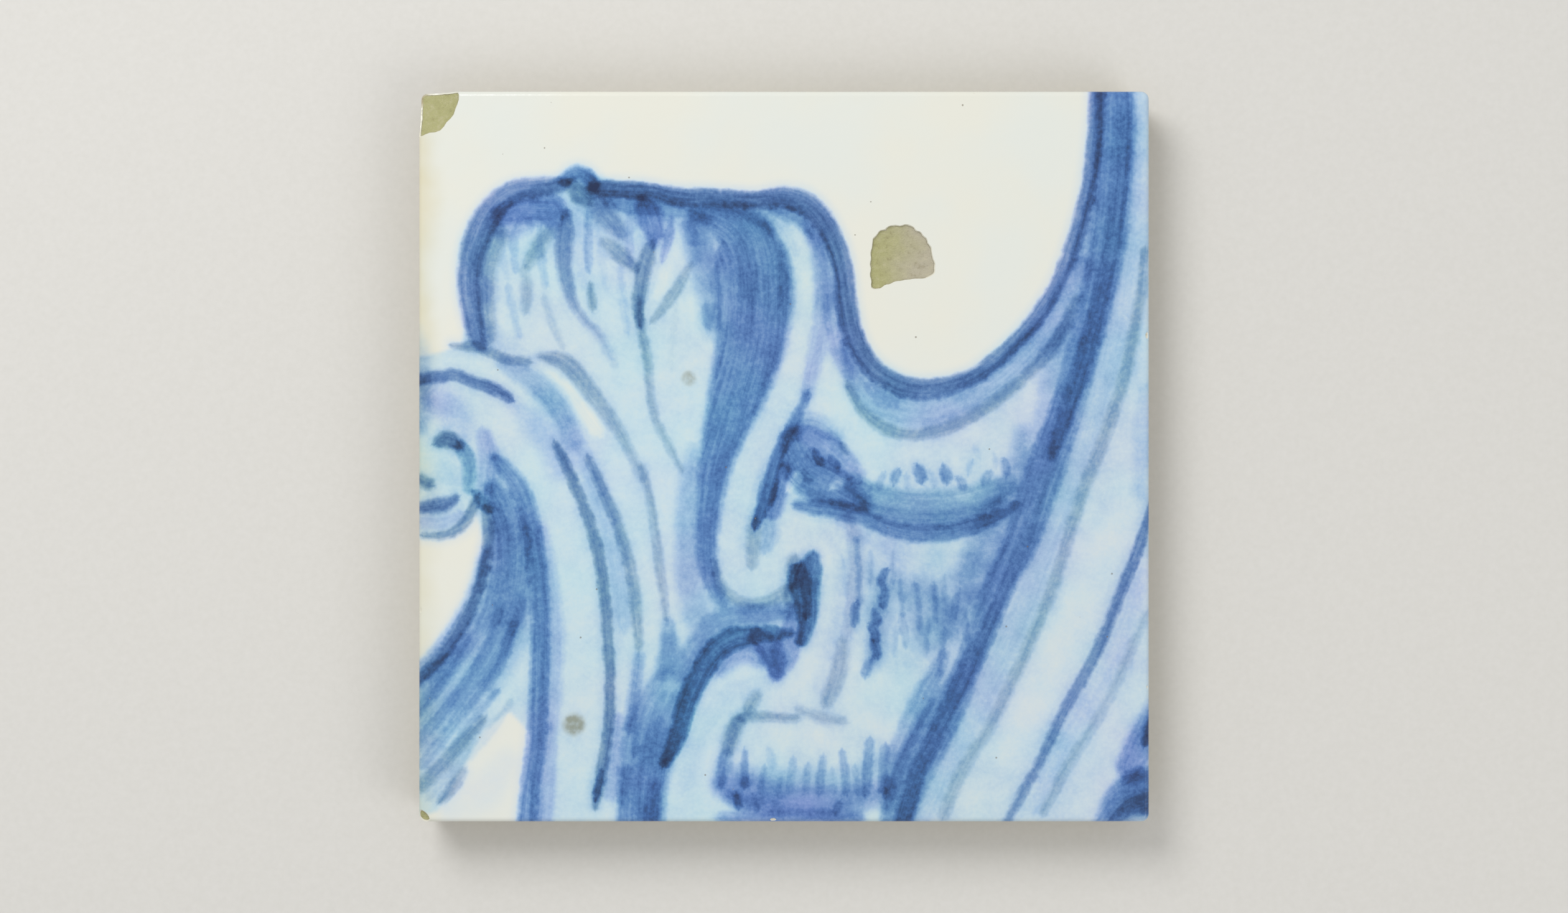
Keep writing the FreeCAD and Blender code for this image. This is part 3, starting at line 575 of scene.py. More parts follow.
def grid_lines(inner, radius, cells):
    """Grid lines along one axis: even inside, and a few finer cells across each rounded corner."""
    fine = radius / CORNER_CELLS
    even = np.linspace(-inner, inner, cells - 2 * CORNER_CELLS + 1)
    ends = inner + fine * np.arange(1, CORNER_CELLS + 1)
    return np.concatenate([-ends[::-1], even, ends])


def outline(cells):
    """Rows of (column, row) round a square grid, once, against the clock."""
    run = range(cells)
    return ([(i, 0) for i in run] + [(cells, j) for j in run]
            + [(cells - i, cells) for i in run] + [(0, cells - j) for j in run])


def quads(lower, upper):
    """Faces between two closed rings of as many vertices each."""
    count = len(lower)
    return [(lower[i], lower[(i + 1) % count], upper[(i + 1) % count], upper[i]) for i in range(count)]


def relief(x, y):
    """Height of the hand-smoothed face against a flat one: slow waves, lower towards the edges."""
    waves = (0.05 * np.sin(x / 23 + 1.3) * np.cos(y / 29 + 0.4) + 0.035 * np.sin(x / 11 - y / 17 + 2.1)
             + 0.02 * np.sin(x / 5.3 + y / 7.1))
    edge = FACE / 2 - np.maximum(np.abs(x), np.abs(y))
    return waves - SUNK - EDGE_FALL * np.exp(-edge / EDGE_FALL_WIDE)


def edge_wobble(x, y):
    """How far the hand-trimmed sides stand out of true at their foot."""
    return EDGE_WOBBLE * np.sin(x / 19 + 0.6) * np.cos(y / 23 + 1.1)


def tile_body():
    """Vertices and faces of the whole tile: dense face, rolled edge, undercut sides and plain back."""
    lines = grid_lines(FLAT - RIM_ROUND, RIM_ROUND, FACE_CELLS)
    grid_x, grid_y = np.meshgrid(lines, lines)
    x, y, out_x, out_y = around_corner(grid_x.ravel(), grid_y.ravel(), FLAT - RIM_ROUND)
    places = [np.stack([x, y, THICK + relief(x, y)], 1)]
    across = FACE_CELLS + 1
    cells = np.arange(FACE_CELLS)
    low = (cells[None, :] + across * cells[:, None]).ravel()
    faces = np.stack([low, low + 1, low + across + 1, low + across], 1).tolist()

    # rolled edge and sides, ring by ring
    rim = np.array([i + across * j for i, j in outline(FACE_CELLS)])
    rim_out = np.stack([out_x[rim], out_y[rim]], 1)
    rim_xy = places[0][rim, :2]
    rim_z = places[0][rim, 2] - THICK
    wobble = edge_wobble(rim_xy[:, 0], rim_xy[:, 1])
    last = rim
    total = across * across
    steps = []
    for k in range(1, ROLL_STEPS + 1):
        turn = math.pi / 2 - k / ROLL_STEPS * (math.pi / 2 + LEAN)
        steps.append((ROLL * math.cos(turn), THICK - ROLL + ROLL * math.sin(turn), 1.0))
    for k in range(1, SIDE_STEPS + 1):
        share = k / SIDE_STEPS
        steps.append(tuple(a + share * (b - a) for a, b in zip(SIDE_TOP, SIDE_FOOT)))
    for out, height, follow in steps:
        ring_xy = rim_xy + rim_out * (out + wobble * (1 - follow))[:, None]
        places.append(np.column_stack([ring_xy, height + follow * rim_z]))
        ring = total + np.arange(len(rim))
        faces += quads(ring.tolist(), last.tolist())
        total += len(ring)
        last = ring

    # back: a coarser grid, with a fan of triangles from each of its rim's cells to the sides
    back_flat = FLAT + TANGENT - UNDERCUT - ARRIS
    back_cells = FACE_CELLS // BACK_EVERY
    back_lines = np.linspace(-back_flat, back_flat, back_cells + 1)
    back_x, back_y = np.meshgrid(back_lines, back_lines)
    back_x, back_y = around_corner(back_x.ravel(), back_y.ravel(), back_flat - CORNER_ROUND)[:2]
    places.append(np.column_stack([back_x, back_y, np.zeros(len(back_x))]))
    wide = back_cells + 1
    cells = np.arange(back_cells)
    low = total + (cells[None, :] + wide * cells[:, None]).ravel()
    faces += np.stack([low, low + wide, low + wide + 1, low + 1], 1).tolist()
    back_rim = [total + i + wide * j for i, j in outline(back_cells)]
    count = len(back_rim)
    last = last.tolist()
    middle = BACK_EVERY // 2
    for k in range(count):
        fan = [last[(k * BACK_EVERY + m) % len(last)] for m in range(BACK_EVERY + 1)]
        here, after = back_rim[k], back_rim[(k + 1) % count]
        faces += [(here, fan[m + 1], fan[m]) for m in range(middle)]
        faces.append((here, after, fan[middle]))
        faces += [(after, fan[m + 1], fan[m]) for m in range(middle, BACK_EVERY)]
    return np.vstack(places), faces


def mesh_object(name, places, faces):
    """A mesh object in metres from places in millimetres."""
    mesh = bpy.data.meshes.new(name)
    mesh.from_pydata((np.asarray(places) * MM).tolist(), [], [tuple(face) for face in faces])
    mesh.update()
    obj = bpy.data.objects.new(name, mesh)
    bpy.context.scene.collection.objects.link(obj)
    return obj


def bowl(loop, rings, offset, rough):
    """A closed bowl to cut with: (share of the loop, height over the face) for each ring, from the top."""
    middle = loop.mean(axis=0)
    places = []
    for share, height in rings:
        ring = middle + (loop - middle) * share
        places.append(np.column_stack([ring, np.full(len(loop), THICK + height)]))
    places = np.vstack(places)
    below = places[:, 2] < THICK - ROUGH_BELOW
    coarse = rough * lumps(places[below], 0.9, offset)
    fine = 0.5 * rough * lumps(places[below], 2.4, offset)
    places[below, 2] += coarse + fine
    count = len(loop)
    faces = []
    for k in range(len(rings) - 1):
        upper = list(range(k * count, (k + 1) * count))
        lower = list(range((k + 1) * count, (k + 2) * count))
        faces += quads(lower, upper)
    faces.append(tuple(range(count)))
    faces.append(tuple(reversed(range((len(rings) - 1) * count, len(rings) * count))))
    return places, faces


def flake_cutter():
    """The lost flake: a steep step through the glaze, then a shallow rough bowl in the clay."""
    loop = spline([(x, y, 0) for x, y in FLAKE + FLAKE[:1]], 0.35)[:-1]
    loop = on_face(loop)[::-1, :2]
    jitter = lumps(np.column_stack([loop, np.zeros(len(loop))]), 0.8, 3.1)
    middle = loop.mean(axis=0)
    loop = middle + (loop - middle) * (1 + FLAKE_UNEVEN * jitter[:, None])
    foot = FLAKE_STEP[-1][1]
    rings = FLAKE_STEP + [(share, foot - FLAKE_DEEPER * (1 - share ** 2)) for share in FLAKE_SHARES]
    return bowl(loop, rings, 5.0, FLAKE_ROUGH)


def chip_cutter(middle, radius, depth, offset, rough):
    """A lump of a ball that bites into an edge or corner: its middle on the face, its reach and depth."""
    middle = np.array(middle)
    turn = np.linspace(0, 2 * math.pi, CHIP_POINTS, endpoint=False)
    loop = np.column_stack([middle[0] + radius * np.cos(turn), middle[1] + radius * np.sin(turn)])
    uneven = lumps(np.column_stack([loop, np.zeros(len(loop))]), 0.35, offset)
    loop = middle + (loop - middle) * (1 + CHIP_UNEVEN * uneven[:, None])
    shares = np.linspace(0.96, 0.03, max(CHIP_LEAST_RINGS, int(radius / CHIP_RING_GAP)))
    rings = CHIP_TOP + [(share, -depth * math.sqrt(1 - share ** 2)) for share in shares]
    return bowl(loop, rings, offset, rough)


def cut(tile, cutters):
    """Takes the cutters' shapes out of the tile's mesh."""
    for number, (places, faces) in enumerate(cutters):
        tool = mesh_object(f"cutter_{number}", places, faces)
        bite = tile.modifiers.new("bite", "BOOLEAN")
        bite.operation = "DIFFERENCE"
        bite.solver = "EXACT"
        bite.object = tool
        shown = tile.evaluated_get(bpy.context.evaluated_depsgraph_get())
        result = bpy.data.meshes.new_from_object(shown)
        tile.modifiers.remove(bite)
        old = tile.data
        tile.data = result
        bpy.data.meshes.remove(old)
        bpy.data.objects.remove(tool)
    tile.data.name = tile.name


def across_stroke(xy, line):
    """For each place: signed distance across the line, length along it and half-width. Then its length."""
    nearest = np.full(len(xy), np.inf)
    side = np.zeros(len(xy))
    along = np.zeros(len(xy))
    half = np.zeros(len(xy))
    run = 0.0
    for start, end in zip(line[:-1], line[1:]):
        way = end[:2] - start[:2]
        length = math.hypot(*way)
        from_start = xy - start[:2]
        share = np.clip(from_start @ way / length ** 2, 0, 1)
        off = from_start - share[:, None] * way
        distance = np.hypot(off[:, 0], off[:, 1])
        closer = distance < nearest
        nearest[closer] = distance[closer]
        left = np.where(way[0] * from_start[:, 1] - way[1] * from_start[:, 0] < 0, -1.0, 1.0)
        side[closer] = left[closer]
        along[closer] = run + share[closer] * length
        half[closer] = start[2] + share[closer] * (end[2] - start[2])
        run += length
    return nearest * side, along, np.maximum(half, THINNEST), run


def inside_polygon(xy, polygon):
    """Distance of each place from the polygon's outline, positive inside."""
    corners = np.array(polygon)
    nearest = np.full(len(xy), np.inf)
    inside = np.zeros(len(xy), bool)
    for start, end in zip(corners, np.roll(corners, -1, axis=0)):
        way = end - start
        from_start = xy - start
        share = np.clip(from_start @ way / (way @ way), 0, 1)
        off = from_start - share[:, None] * way
        nearest = np.minimum(nearest, np.hypot(off[:, 0], off[:, 1]))
        spans = (start[1] > xy[:, 1]) != (end[1] > xy[:, 1])
        rise = way[1] if way[1] else 1e-12
        inside ^= spans & (xy[:, 0] < start[0] + (xy[:, 1] - start[1]) / rise * way[0])
    return np.where(inside, nearest, -nearest)


def all_strokes():
    """The painted strokes and the hatching, each with its line in millimetres on the face."""
    strokes = list(STROKES)
    for x, top, foot, half, tone in HATCHES:
        sway = HATCH_SWAY * math.sin(3.1 * x)
        upper = (x + sway, top, 0.8 * half)
        lower = (x - 0.5 * sway, foot, 0.9 * half)
        strokes.append(brush(tone, HATCH_SOFT, PLAIN, upper, (x, (top + foot) / 2, half), lower))
    for stroke in strokes:
        stroke["line"] = on_face(spline(stroke["points"], LINE_STEP))
    return strokes


def apart(stroke, other):
    """Whether two strokes lie so far from each other that one layer can hold both."""
    line, next_line = stroke["line"], other["line"]
    gap = np.hypot(line[:, None, 0] - next_line[None, :, 0], line[:, None, 1] - next_line[None, :, 1])
    room = gap - line[:, None, 2] - next_line[None, :, 2]
    return room.min() >= stroke["soft"] + other["soft"] + LAYER_ROOM


def part_layers(strokes):
    """Shares the strokes out over layers, the largest first, so that no two in one layer come near."""
    layers = []
    order = sorted(strokes, key=lambda stroke: -len(stroke["line"]) * stroke["line"][:, 2].max())
    for stroke in order:
        for layer in layers:
            if all(apart(stroke, other) for other in layer):
                layer.append(stroke)
                break
        else:
            layers.append([stroke])
    return layers


def set_attribute(mesh, name, columns):
    """Keeps four numbers for each vertex."""
    data = mesh.attributes.new(name, "FLOAT_COLOR", "POINT")
    data.data.foreach_set("color", np.column_stack(columns).astype(np.float32).ravel())


def lay_strokes(mesh, places):
    """Keeps, for each layer of strokes, where every vertex of the face lies in them. Gives their number."""
    strokes = all_strokes()
    crisp = [stroke for stroke in strokes if stroke["soft"] < WASH_SOFT]
    soft = [stroke for stroke in strokes if stroke["soft"] >= WASH_SOFT]
    total = len(places)
    xy = places[:, :2]
    face = places[:, 2] > THICK - PAINT_DOWN
    layers = part_layers(crisp)

    def near(stroke, room):
        line = stroke["line"]
        reach = line[:, 2].max() + room
        low = line[:, :2].min(axis=0) - reach
        high = line[:, :2].max(axis=0) + reach
        return np.where(face & (xy > low).all(axis=1) & (xy < high).all(axis=1))[0]

    def laid(stroke, pick):
        side, along, half, length = across_stroke(xy[pick], stroke["line"])
        tone = stroke["start"] + (stroke["end"] - stroke["start"]) * along / length
        return side, along, half, length, tone

    # pale ground and soft strokes
    ground = inside_polygon(xy, on_face([(x, y, 0) for x, y in GROUND])[:, :2])
    right = smooth_step(*RIGHT_PART, xy[:, 0])
    wash = (GROUND_TONE + RIGHT_DEEPER * right) * smooth_step(-GROUND_SOFT, GROUND_SOFT, ground)
    wash_hue = GROUND_HUE * (1 - RIGHT_BLUER * right) * wash
    for stroke in soft:
        pick = near(stroke, stroke["soft"])
        side, _, half, _, tone = laid(stroke, pick)
        amount = tone * smooth_step(-stroke["soft"], stroke["soft"], half - np.abs(side))
        wash[pick] += amount
        wash_hue[pick] += np.abs(amount) * stroke["hue"]

    # crisp strokes, each with a halo in the wash
    run = 0.0
    for number, layer in enumerate(layers):
        side_of = np.full(total, FAR)
        beyond = np.full(total, FAR)
        soft_of = np.full(total, IDLE_SOFT)
        along_of, half_of, tone_of, hue_of, grey_of = np.zeros((5, total))
        for stroke in layer:
            room = stroke["soft"] + EDGE_ROOM
            pick = near(stroke, max(room, HALO_SOFT + HALO_WIDER))
            side, along, half, length, tone = laid(stroke, pick)
            if stroke["start"] > 0:
                halo = half + HALO_WIDER - np.abs(side)
                wash[pick] += HALO_SHARE * tone * smooth_step(-HALO_SOFT, HALO_SOFT, halo)
            past = np.abs(side) - half
            keep = (past < room) & (past < beyond[pick])
            at = pick[keep]
            side_of[at] = side[keep]
            beyond[at] = past[keep]
            along_of[at] = run + along[keep]
            half_of[at] = half[keep]
            tone_of[at] = tone[keep]
            hue_of[at] = stroke["hue"]
            grey_of[at] = stroke["grey"]
            soft_of[at] = stroke["soft"]
            run += length + RUN_GAP
        set_attribute(mesh, f"line_{number}", (side_of, beyond, along_of, half_of))
        set_attribute(mesh, f"tone_{number}", (tone_of, hue_of, soft_of, grey_of))

    dirt = np.zeros(total)
    for x, y, radius, amount in SPECKS:
        at = on_face([(x, y, radius)])[0]
        distance = np.hypot(xy[:, 0] - at[0], xy[:, 1] - at[1])
        dirt = np.maximum(dirt, amount * smooth_step(1.25 * at[2], 0.4 * at[2], distance) * face)
    set_attribute(mesh, "wash", (wash, wash_hue, dirt, bare_depth(places)))
    return len(layers)


def bare_depth(places):
    """How far each vertex lies under the lost glaze, in millimetres; below zero where it is whole."""
    x, y, z = places.T
    lift = relief(x, y)
    share = np.clip((SIDE_TOP[1] - z) / (SIDE_TOP[1] - SIDE_FOOT[1]), 0, 1)
    rise = np.clip(z - lift - THICK + ROLL, -ROLL, ROLL)
    side = SIDE_TOP[0] + share * (SIDE_FOOT[0] - SIDE_TOP[0] + edge_wobble(x, y))
    out = np.where(z - lift > SIDE_TOP[1], np.sqrt(ROLL ** 2 - rise ** 2), side)
    past_x = np.abs(x) - FLAT + RIM_ROUND
    past_y = np.abs(y) - FLAT + RIM_ROUND
    outside = np.hypot(np.maximum(past_x, 0), np.maximum(past_y, 0))
    past = outside + np.minimum(np.maximum(past_x, past_y), 0)
    inwards = RIM_ROUND + out - past
    under = np.minimum(THICK + lift - z, inwards) - GLAZE_THICK
    return np.where(z > THICK / 2, under, -1.0)


class Nodes:
    """Short ways to add shader nodes to one material, each taking and giving sockets or numbers."""

    def __init__(self, tree):
        self.tree = tree

    def add(self, kind, inputs=None, **settings):
        """A node with those settings and inputs."""
        node = self.tree.nodes.new(kind)
        for name, value in settings.items():
            setattr(node, name, value)
        for socket, value in (inputs or {}).items():
            self.put(node.inputs[socket], value)
        return node

    def put(self, socket, value):
        """Links a socket to the input, or writes a number or colour there."""
        if isinstance(value, bpy.types.NodeSocket):
            self.tree.links.new(value, socket)
        else:
            socket.default_value = value

    def math(self, operation, *values, clamp=False):
        """One sum."""
        node = self.add("ShaderNodeMath", operation=operation, use_clamp=clamp)
        for number, value in enumerate(values):
            self.put(node.inputs[number], value)
        return node.outputs[0]

    def step(self, low, high, value):
        """0 at low, 1 at high and smooth between."""
        node = self.add("ShaderNodeMapRange", interpolation_type="SMOOTHSTEP",
                        inputs={"Value": value, "From Min": low, "From Max": high})
        return node.outputs["Result"]

    def ramp(self, low, high, to_low, to_high, value):
        """value scaled from one range to another, and held at its ends."""
        node = self.add("ShaderNodeMapRange", inputs={"Value": value, "From Min": low, "From Max": high,
                                                      "To Min": to_low, "To Max": to_high})
        return node.outputs["Result"]

    def noise(self, place, scale, detail=2.0, roughness=0.5):
        """Soft noise of about 0.25 to 0.75 with that many waves to a unit of length."""
        node = self.add("ShaderNodeTexNoise", inputs={"Vector": place, "Scale": scale, "Detail": detail,
                                                      "Roughness": roughness})
        return node.outputs["Fac"]

    def mix(self, share, first, second, blend="MIX"):
        """Two colours mixed."""
        node = self.add("ShaderNodeMix", data_type="RGBA", blend_type=blend)
        self.put(node.inputs[0], share)
        self.put(node.inputs[6], first)
        self.put(node.inputs[7], second)
        return node.outputs[2]

    def attribute(self, name):
        """The four numbers of a vertex attribute."""
        node = self.add("ShaderNodeAttribute", attribute_name=name)
        parts = self.add("ShaderNodeSeparateColor", inputs={"Color": node.outputs["Color"]})
        return parts.outputs[0], parts.outputs[1], parts.outputs[2], node.outputs["Alpha"]


def linear(red, green, blue):
    """A colour as a screen shows it, 0 to 255, as the renderer takes it."""
    parts = [c / 255 for c in (red, green, blue)]
    return tuple(c / 12.92 if c <= 0.04045 else ((c + 0.055) / 1.055) ** 2.4 for c in parts) + (1.0,)


def brushwork(n, place, layers):
    """Amount of blue and of its hue from all strokes, with ragged edges, bristle streaks and pooling."""
    wash, wash_hue, dirt, bare = n.attribute("wash")
    drift = n.noise(place, 0.16, 3.0)
    wash = n.math("MULTIPLY", wash, n.ramp(0.25, 0.75, 0.72, 1.28, drift))
    ragged = n.math("MULTIPLY", n.math("SUBTRACT", n.noise(place, 0.55, 4.0), 0.5), RAGGED)
    blue = wash
    hue_sum = wash_hue
    grey_sum = 0.0
    for number in range(layers):
        side, beyond, along, half = n.attribute(f"line_{number}")
        tone, hue, soft, grey = n.attribute(f"tone_{number}")
        reach = n.math("ABSOLUTE", side)
        inside = n.math("MINIMUM", n.math("SUBTRACT", half, reach), n.math("SUBTRACT", NIB, beyond))
        inside = n.math("ADD", inside, ragged)
        mask = n.step(n.math("MULTIPLY", soft, -1.0), soft, inside)
        lane = n.add("ShaderNodeCombineXYZ", inputs={"X": n.math("MULTIPLY", along, STREAK_ALONG),
                                                     "Y": n.math("MULTIPLY", side, STREAK_ACROSS),
                                                     "Z": LAYER_SHIFT * number}).outputs[0]
        streak = n.ramp(0.28, 0.72, 0.72, 1.28, n.noise(lane, 1.0, 3.0))
        share = n.math("DIVIDE", reach, n.math("ADD", half, 0.05))
        pool = n.math("MULTIPLY_ADD", n.math("MULTIPLY", share, share), POOLING, MIDDLE_TONE)
        amount = n.math("MULTIPLY", n.math("MULTIPLY", tone, mask), streak)
        amount = n.math("MULTIPLY", amount, n.math("MINIMUM", pool, MOST_POOLED))
        blue = n.math("ADD", blue, amount)
        weight = n.math("ABSOLUTE", amount)
        hue_sum = n.math("MULTIPLY_ADD", weight, hue, hue_sum)
        grey_sum = n.math("MULTIPLY_ADD", weight, grey, grey_sum)
    grain = n.ramp(0.3, 0.7, 0.86, 1.14, n.noise(place, 1.3, 3.0, roughness=0.6))
    blue = n.math("MAXIMUM", n.math("MULTIPLY", blue, grain), 0.0)
    base = n.math("ADD", blue, HUE_BASE)
    mood = n.ramp(0.3, 0.7, -HUE_DRIFT, HUE_DRIFT, n.noise(place, 0.07, 2.0))
    hue = n.math("ADD", n.math("DIVIDE", hue_sum, base), mood)
    hue = n.math("MAXIMUM", n.math("MINIMUM", hue, 1.0), -1.0)
    grey = n.math("DIVIDE", grey_sum, base, clamp=True)
    return blue, hue, grey, dirt, bare


def tinted(n, colour, blue, hue, grey):
    """The blue turned towards violet where hue is above nothing, towards green below, and towards grey."""
    share = n.math("MULTIPLY", blue, 2.5, clamp=True)
    turn = n.math("MULTIPLY", share, hue)
    dull = n.math("MULTIPLY", share, grey)
    parts = {}
    for axis, (to_violet, to_grey) in TINTS.items():
        turned = n.math("MULTIPLY_ADD", turn, to_violet, 1.0)
        parts[axis] = n.math("MULTIPLY_ADD", dull, to_grey, turned)
    tint = n.add("ShaderNodeCombineXYZ", inputs=parts).outputs[0]
    return n.mix(1.0, colour, tint, "MULTIPLY")


def tile_material(layers):
    """Painted tin glaze over buff earthenware, bare where the glaze has broken away or never ran."""
    material = bpy.data.materials.new("painted_tin_glaze")
    material.use_nodes = True
    tree = material.node_tree
    tree.nodes.clear()
    n = Nodes(tree)
    metres = n.add("ShaderNodeTexCoord").outputs["Object"]
    place = n.add("ShaderNodeVectorMath", operation="SCALE", inputs={0: metres, "Scale": 1 / MM}).outputs[0]
    x, y, z = n.add("ShaderNodeSeparateXYZ", inputs={0: place}).outputs

    # painting
    blue, hue, grey, dirt, lost = brushwork(n, place, layers)
    ramp = n.add("ShaderNodeValToRGB", inputs={"Fac": n.math("DIVIDE", blue, MOST_BLUE)})
    stops = ramp.color_ramp.elements
    while len(stops) < len(BLUES):
        stops.new(0.5)
    for stop, (amount, colour) in zip(stops, BLUES):
        stop.position = amount / MOST_BLUE
        stop.color = linear(*colour)
    paint = tinted(n, ramp.outputs["Color"], blue, hue, grey)

    # white glaze: warm and cool clouds, a cream tint along the left edge that grows towards the top, dirt
    # spots and pinholes
    cloud = n.step(0.35, 0.65, n.noise(place, 0.035, 4.0))
    paint = n.mix(1.0, paint, n.mix(cloud, COOL_CLOUD, WARM_CLOUD), "MULTIPLY")
    uneven_x = n.math("MULTIPLY_ADD", n.noise(place, 0.12), 6.0, x)
    beside = n.math("SUBTRACT", 1.0, n.step(CREAM_FROM, CREAM_TO, uneven_x))
    beside = n.math("MULTIPLY", beside, n.ramp(-14, 34, 0.55, 0.85, y))
    paint = n.mix(beside, paint, linear(*EDGE_CREAM), "MULTIPLY")
    patchy = n.ramp(0.3, 0.7, 0.7, 1.35, n.noise(place, 0.7, 3.0))
    specks = n.step(0.05, 1.0, n.math("MULTIPLY", dirt, patchy))
    paint = n.mix(n.math("MULTIPLY", specks, 0.8), paint, linear(*SPECK))
    cells = n.add("ShaderNodeTexVoronoi", inputs={"Vector": place, "Scale": 0.16})
    hole = n.math("SUBTRACT", 1.0, n.step(0.02, 0.035, cells.outputs["Distance"]))
    paint = n.mix(n.math("MULTIPLY", hole, 0.6), paint, linear(*PINHOLE))

    # bare clay, in the breaks and under the run of the glaze
    rough = n.noise(place, 0.7, 5.0, roughness=0.65)
    blotch = n.noise(place, 0.13, 4.0)
    clay = n.mix(n.step(0.35, 0.65, blotch), *[linear(*colour) for colour in OLD_CLAY])
    across = n.math("MULTIPLY_ADD", n.math("SUBTRACT", blotch, 0.5), 14.0, x)
    freshly = n.mix(n.step(17.0, 27.0, across), *[linear(*colour) for colour in BROKEN_CLAY])
    torn = n.math("MULTIPLY", n.math("SUBTRACT", rough, 0.5), 0.25)
    broken = n.step(-0.06, 0.06, n.math("ADD", lost, torn))
    clay = n.mix(broken, clay, freshly)
    clay = n.mix(n.math("MULTIPLY", n.step(0.52, 0.72, rough), 0.4), clay, linear(*CLAY_PIT))
    clay = n.mix(n.math("MULTIPLY", n.step(0.5, 0.3, rough), 0.4), clay, linear(*CLAY_GRAIN))
    section = n.step(-0.26, -0.18, lost)
    paint = n.mix(section, paint, linear(*GLAZE_SECTION))
    run = n.math("MULTIPLY", n.math("SUBTRACT", n.noise(place, 0.11, 3.0), 0.5), GLAZE_RUN_UNEVEN)
    unglazed = n.step(-0.12, 0.12, n.math("SUBTRACT", n.math("ADD", run, THICK - GLAZE_RUN), z))
    bare = n.math("MAXIMUM", broken, unglazed)
    colour = n.mix(bare, paint, clay)

    # gloss and fine relief
    smear = n.ramp(0.3, 0.7, 0.1, 0.22, n.noise(place, 0.09, 4.0))
    gloss = n.math("MULTIPLY_ADD", bare, 0.72, n.math("MULTIPLY_ADD", specks, 0.3, smear))
    peel = n.math("MULTIPLY", n.noise(place, 0.3, 3.0), PEEL)
    pit = n.math("MULTIPLY", hole, -PIT_DEEP)
    gritty = n.math("MULTIPLY", n.noise(place, 1.6, 5.0, roughness=0.7), CLAY_GRIT)
    height = n.add("ShaderNodeMix", data_type="FLOAT")
    n.put(height.inputs[0], bare)
    n.put(height.inputs[2], n.math("ADD", peel, pit))
    n.put(height.inputs[3], n.math("SUBTRACT", gritty, CLAY_GRIT))
    bump = n.add("ShaderNodeBump", inputs={"Strength": 1.0, "Distance": MM, "Height": height.outputs[0]})
    shader = n.add("ShaderNodeBsdfPrincipled", inputs={"Base Color": colour, "Roughness": gloss, "IOR": 1.5,
                                                       "Normal": bump.outputs[0]})
    n.add("ShaderNodeOutputMaterial", inputs={"Surface": shader.outputs[0]})
    return material


def floor_material():
    """Pale matt board with a little tooth."""
    material = bpy.data.materials.new("pale_board")
    material.use_nodes = True
    n = Nodes(material.node_tree)
    shader = material.node_tree.nodes["Principled BSDF"]
    place = n.add("ShaderNodeTexCoord").outputs["Object"]
    fibre = n.noise(place, 900.0, 3.0)
    n.put(shader.inputs["Base Color"], n.mix(fibre, *[linear(*colour) for colour in BOARD]))
    shader.inputs["Roughness"].default_value = 0.9
    return material


def lamp(name, azimuth, height, distance, size, power):
    """A soft lamp aimed at the tile: degrees round it and above the floor, metres and watts."""
    around, up = math.radians(azimuth), math.radians(height)
    way = Vector((math.cos(around) * math.cos(up), math.sin(around) * math.cos(up), math.sin(up)))
    place = way * distance
    data = bpy.data.lights.new(name, "AREA")
    data.shape = "DISK"
    data.size = size
    data.energy = power
    light = bpy.data.objects.new(name, data)
    light.location = place
    light.rotation_euler = place.to_track_quat("Z", "Y").to_euler()
    bpy.context.scene.collection.objects.link(light)


def studio():
    """Pale floor, soft light from the sides and a camera that looks straight down on the face."""
    corners = [(-1, -1), (1, -1), (1, 1), (-1, 1)]
    places = [(x * FLOOR_HALF, y * FLOOR_HALF, -FLOOR_GAP) for x, y in corners]
    floor = mesh_object("floor", places, [(0, 1, 2, 3)])
    floor.data.materials.append(floor_material())
    world = bpy.data.worlds.new("studio")
    world.use_nodes = True
    sky = world.node_tree.nodes["Background"]
    sky.inputs["Color"].default_value = (1.0, 1.0, 1.0, 1.0)
    sky.inputs["Strength"].default_value = SKY
    bpy.context.scene.world = world
    lamp("key", 125, 48, 0.9, 0.5, KEY)
    lamp("fill", -35, 42, 1.0, 0.6, FILL)
    view = bpy.data.cameras.new("camera")
    view.lens = LENS
    view.sensor_width = SENSOR
    camera = bpy.data.objects.new("camera", view)
    camera.location = (0.0, 0.0, CAMERA_HEIGHT)
    bpy.context.scene.collection.objects.link(camera)
    bpy.context.scene.camera = camera
    bpy.context.scene.view_settings.view_transform = "Standard"


def vertex_places(mesh):
    """The mesh's vertices in millimetres."""
    places = np.zeros(3 * len(mesh.vertices), np.float32)
    mesh.vertices.foreach_get("co", places)
    return places.reshape(-1, 3).astype(float) / MM


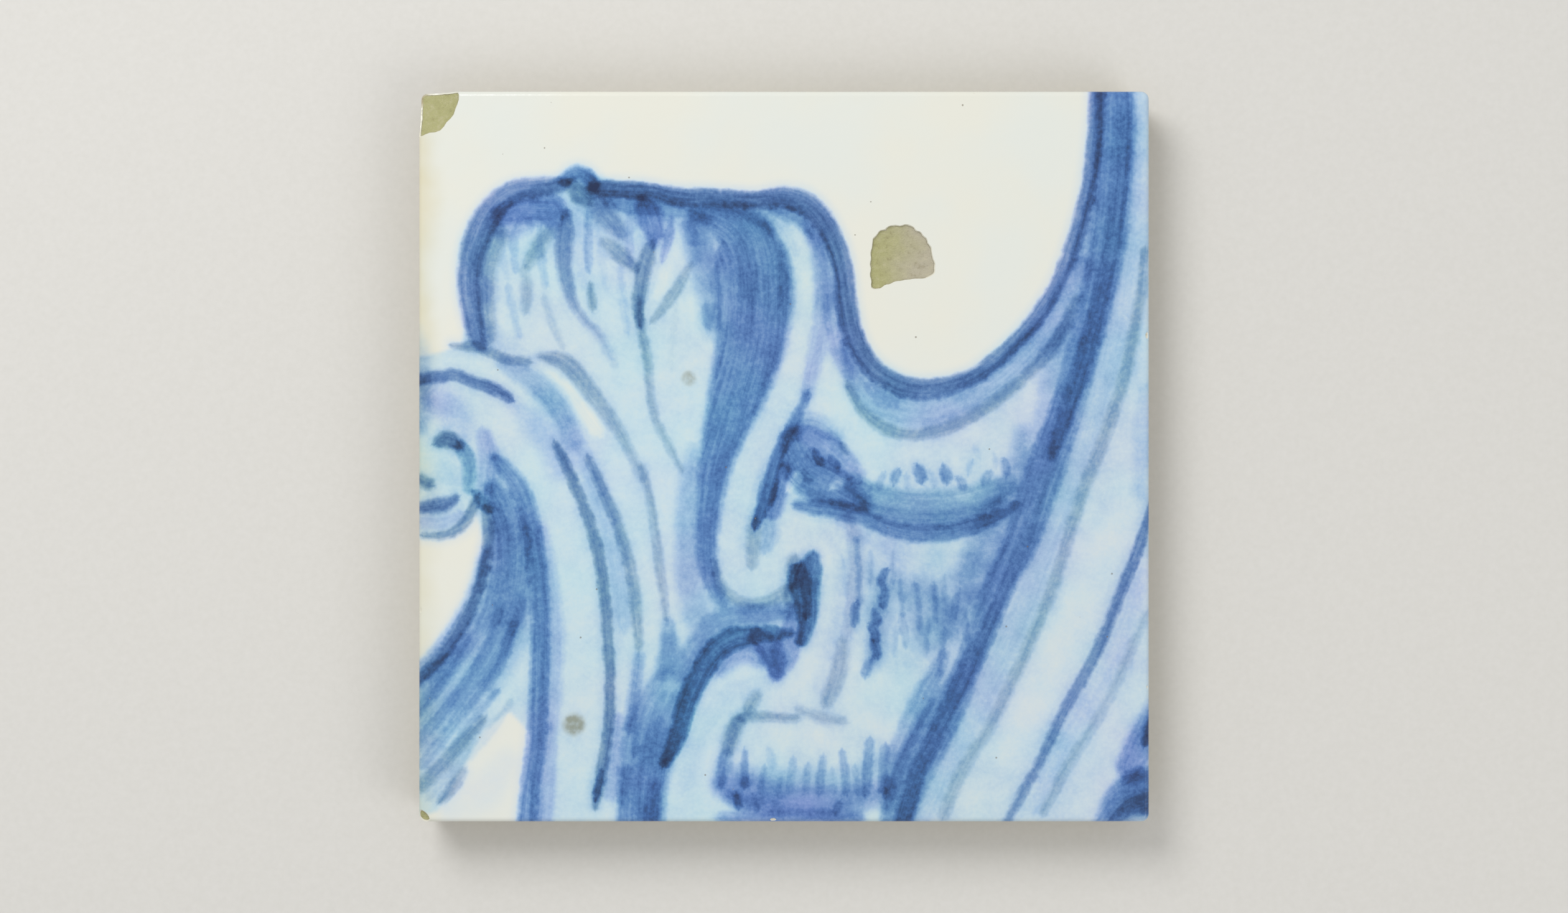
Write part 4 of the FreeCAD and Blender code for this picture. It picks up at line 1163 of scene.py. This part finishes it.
def unwrap(mesh):
    """Lays the face, the four sides and the back flat beside each other, the face largest."""
    layer = mesh.uv_layers.new(name="OFBake")
    count = len(mesh.loops)
    corner = np.zeros(count, np.int32)
    mesh.loops.foreach_get("vertex_index", corner)
    normals = np.zeros((count, 3))
    for polygon in mesh.polygons:
        normals[polygon.loop_start:polygon.loop_start + polygon.loop_total] = polygon.normal
    x, y, z = (vertex_places(mesh)[corner] / FACE).T
    u = MARGIN + FACE_SHARE * (x + 0.5)
    v = MARGIN + FACE_SHARE * (y + 0.5)
    down = 1 - z * FACE / THICK
    sides = (normals[:, 2] <= FACES_UP) & (normals[:, 2] > FACES_DOWN)
    wide = np.abs(normals[:, 0]) > np.abs(normals[:, 1])
    for number, (pick, run) in enumerate(((sides & wide & (normals[:, 0] > 0), y),
                                          (sides & wide & (normals[:, 0] <= 0), y),
                                          (sides & ~wide & (normals[:, 1] > 0), x),
                                          (sides & ~wide & (normals[:, 1] <= 0), x))):
        u[pick] = BESIDE + SIDE_EVERY * number + SIDE_WIDE * down[pick]
        v[pick] = MARGIN + FACE_SHARE * (run[pick] + 0.5)
    back = normals[:, 2] <= FACES_DOWN
    u[back] = MARGIN + BACK_SHARE * (x[back] + 0.5)
    v[back] = BESIDE + BACK_SHARE * (y[back] + 0.5)
    layer.data.foreach_set("uv", np.column_stack([u, v]).astype(np.float32).ravel())


def make_tile():
    """The tile's mesh with its breaks, painting and material."""
    tile = mesh_object("tile_painted", *tile_body())
    cutters = [flake_cutter()]
    corner = on_face([CORNER_MIDDLE + (CORNER_REACH,)])[0]
    cutters.append(chip_cutter(corner[:2], corner[2], CORNER_DEEP, 9.0, CORNER_ROUGH))
    for number, (x, y, reach, depth) in enumerate(NICKS):
        at = on_face([(x, y, reach)])[0]
        cutters.append(chip_cutter(at[:2], at[2], depth, 13.0 + number, NICK_ROUGH))
    cut(tile, cutters)
    mesh = tile.data
    layers = lay_strokes(mesh, vertex_places(mesh))
    unwrap(mesh)
    mesh.shade_smooth()
    mesh.set_sharp_from_angle(angle=math.radians(SMOOTH_BELOW))
    mesh.materials.clear()
    mesh.materials.append(tile_material(layers))
    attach(tile, "root")
    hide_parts(NODE)


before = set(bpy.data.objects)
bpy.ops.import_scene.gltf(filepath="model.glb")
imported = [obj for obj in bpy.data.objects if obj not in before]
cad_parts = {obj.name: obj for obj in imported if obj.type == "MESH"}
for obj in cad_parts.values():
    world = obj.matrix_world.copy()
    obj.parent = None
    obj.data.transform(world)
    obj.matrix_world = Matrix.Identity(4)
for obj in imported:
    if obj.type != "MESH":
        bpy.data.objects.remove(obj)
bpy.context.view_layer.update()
make_tile()
studio()
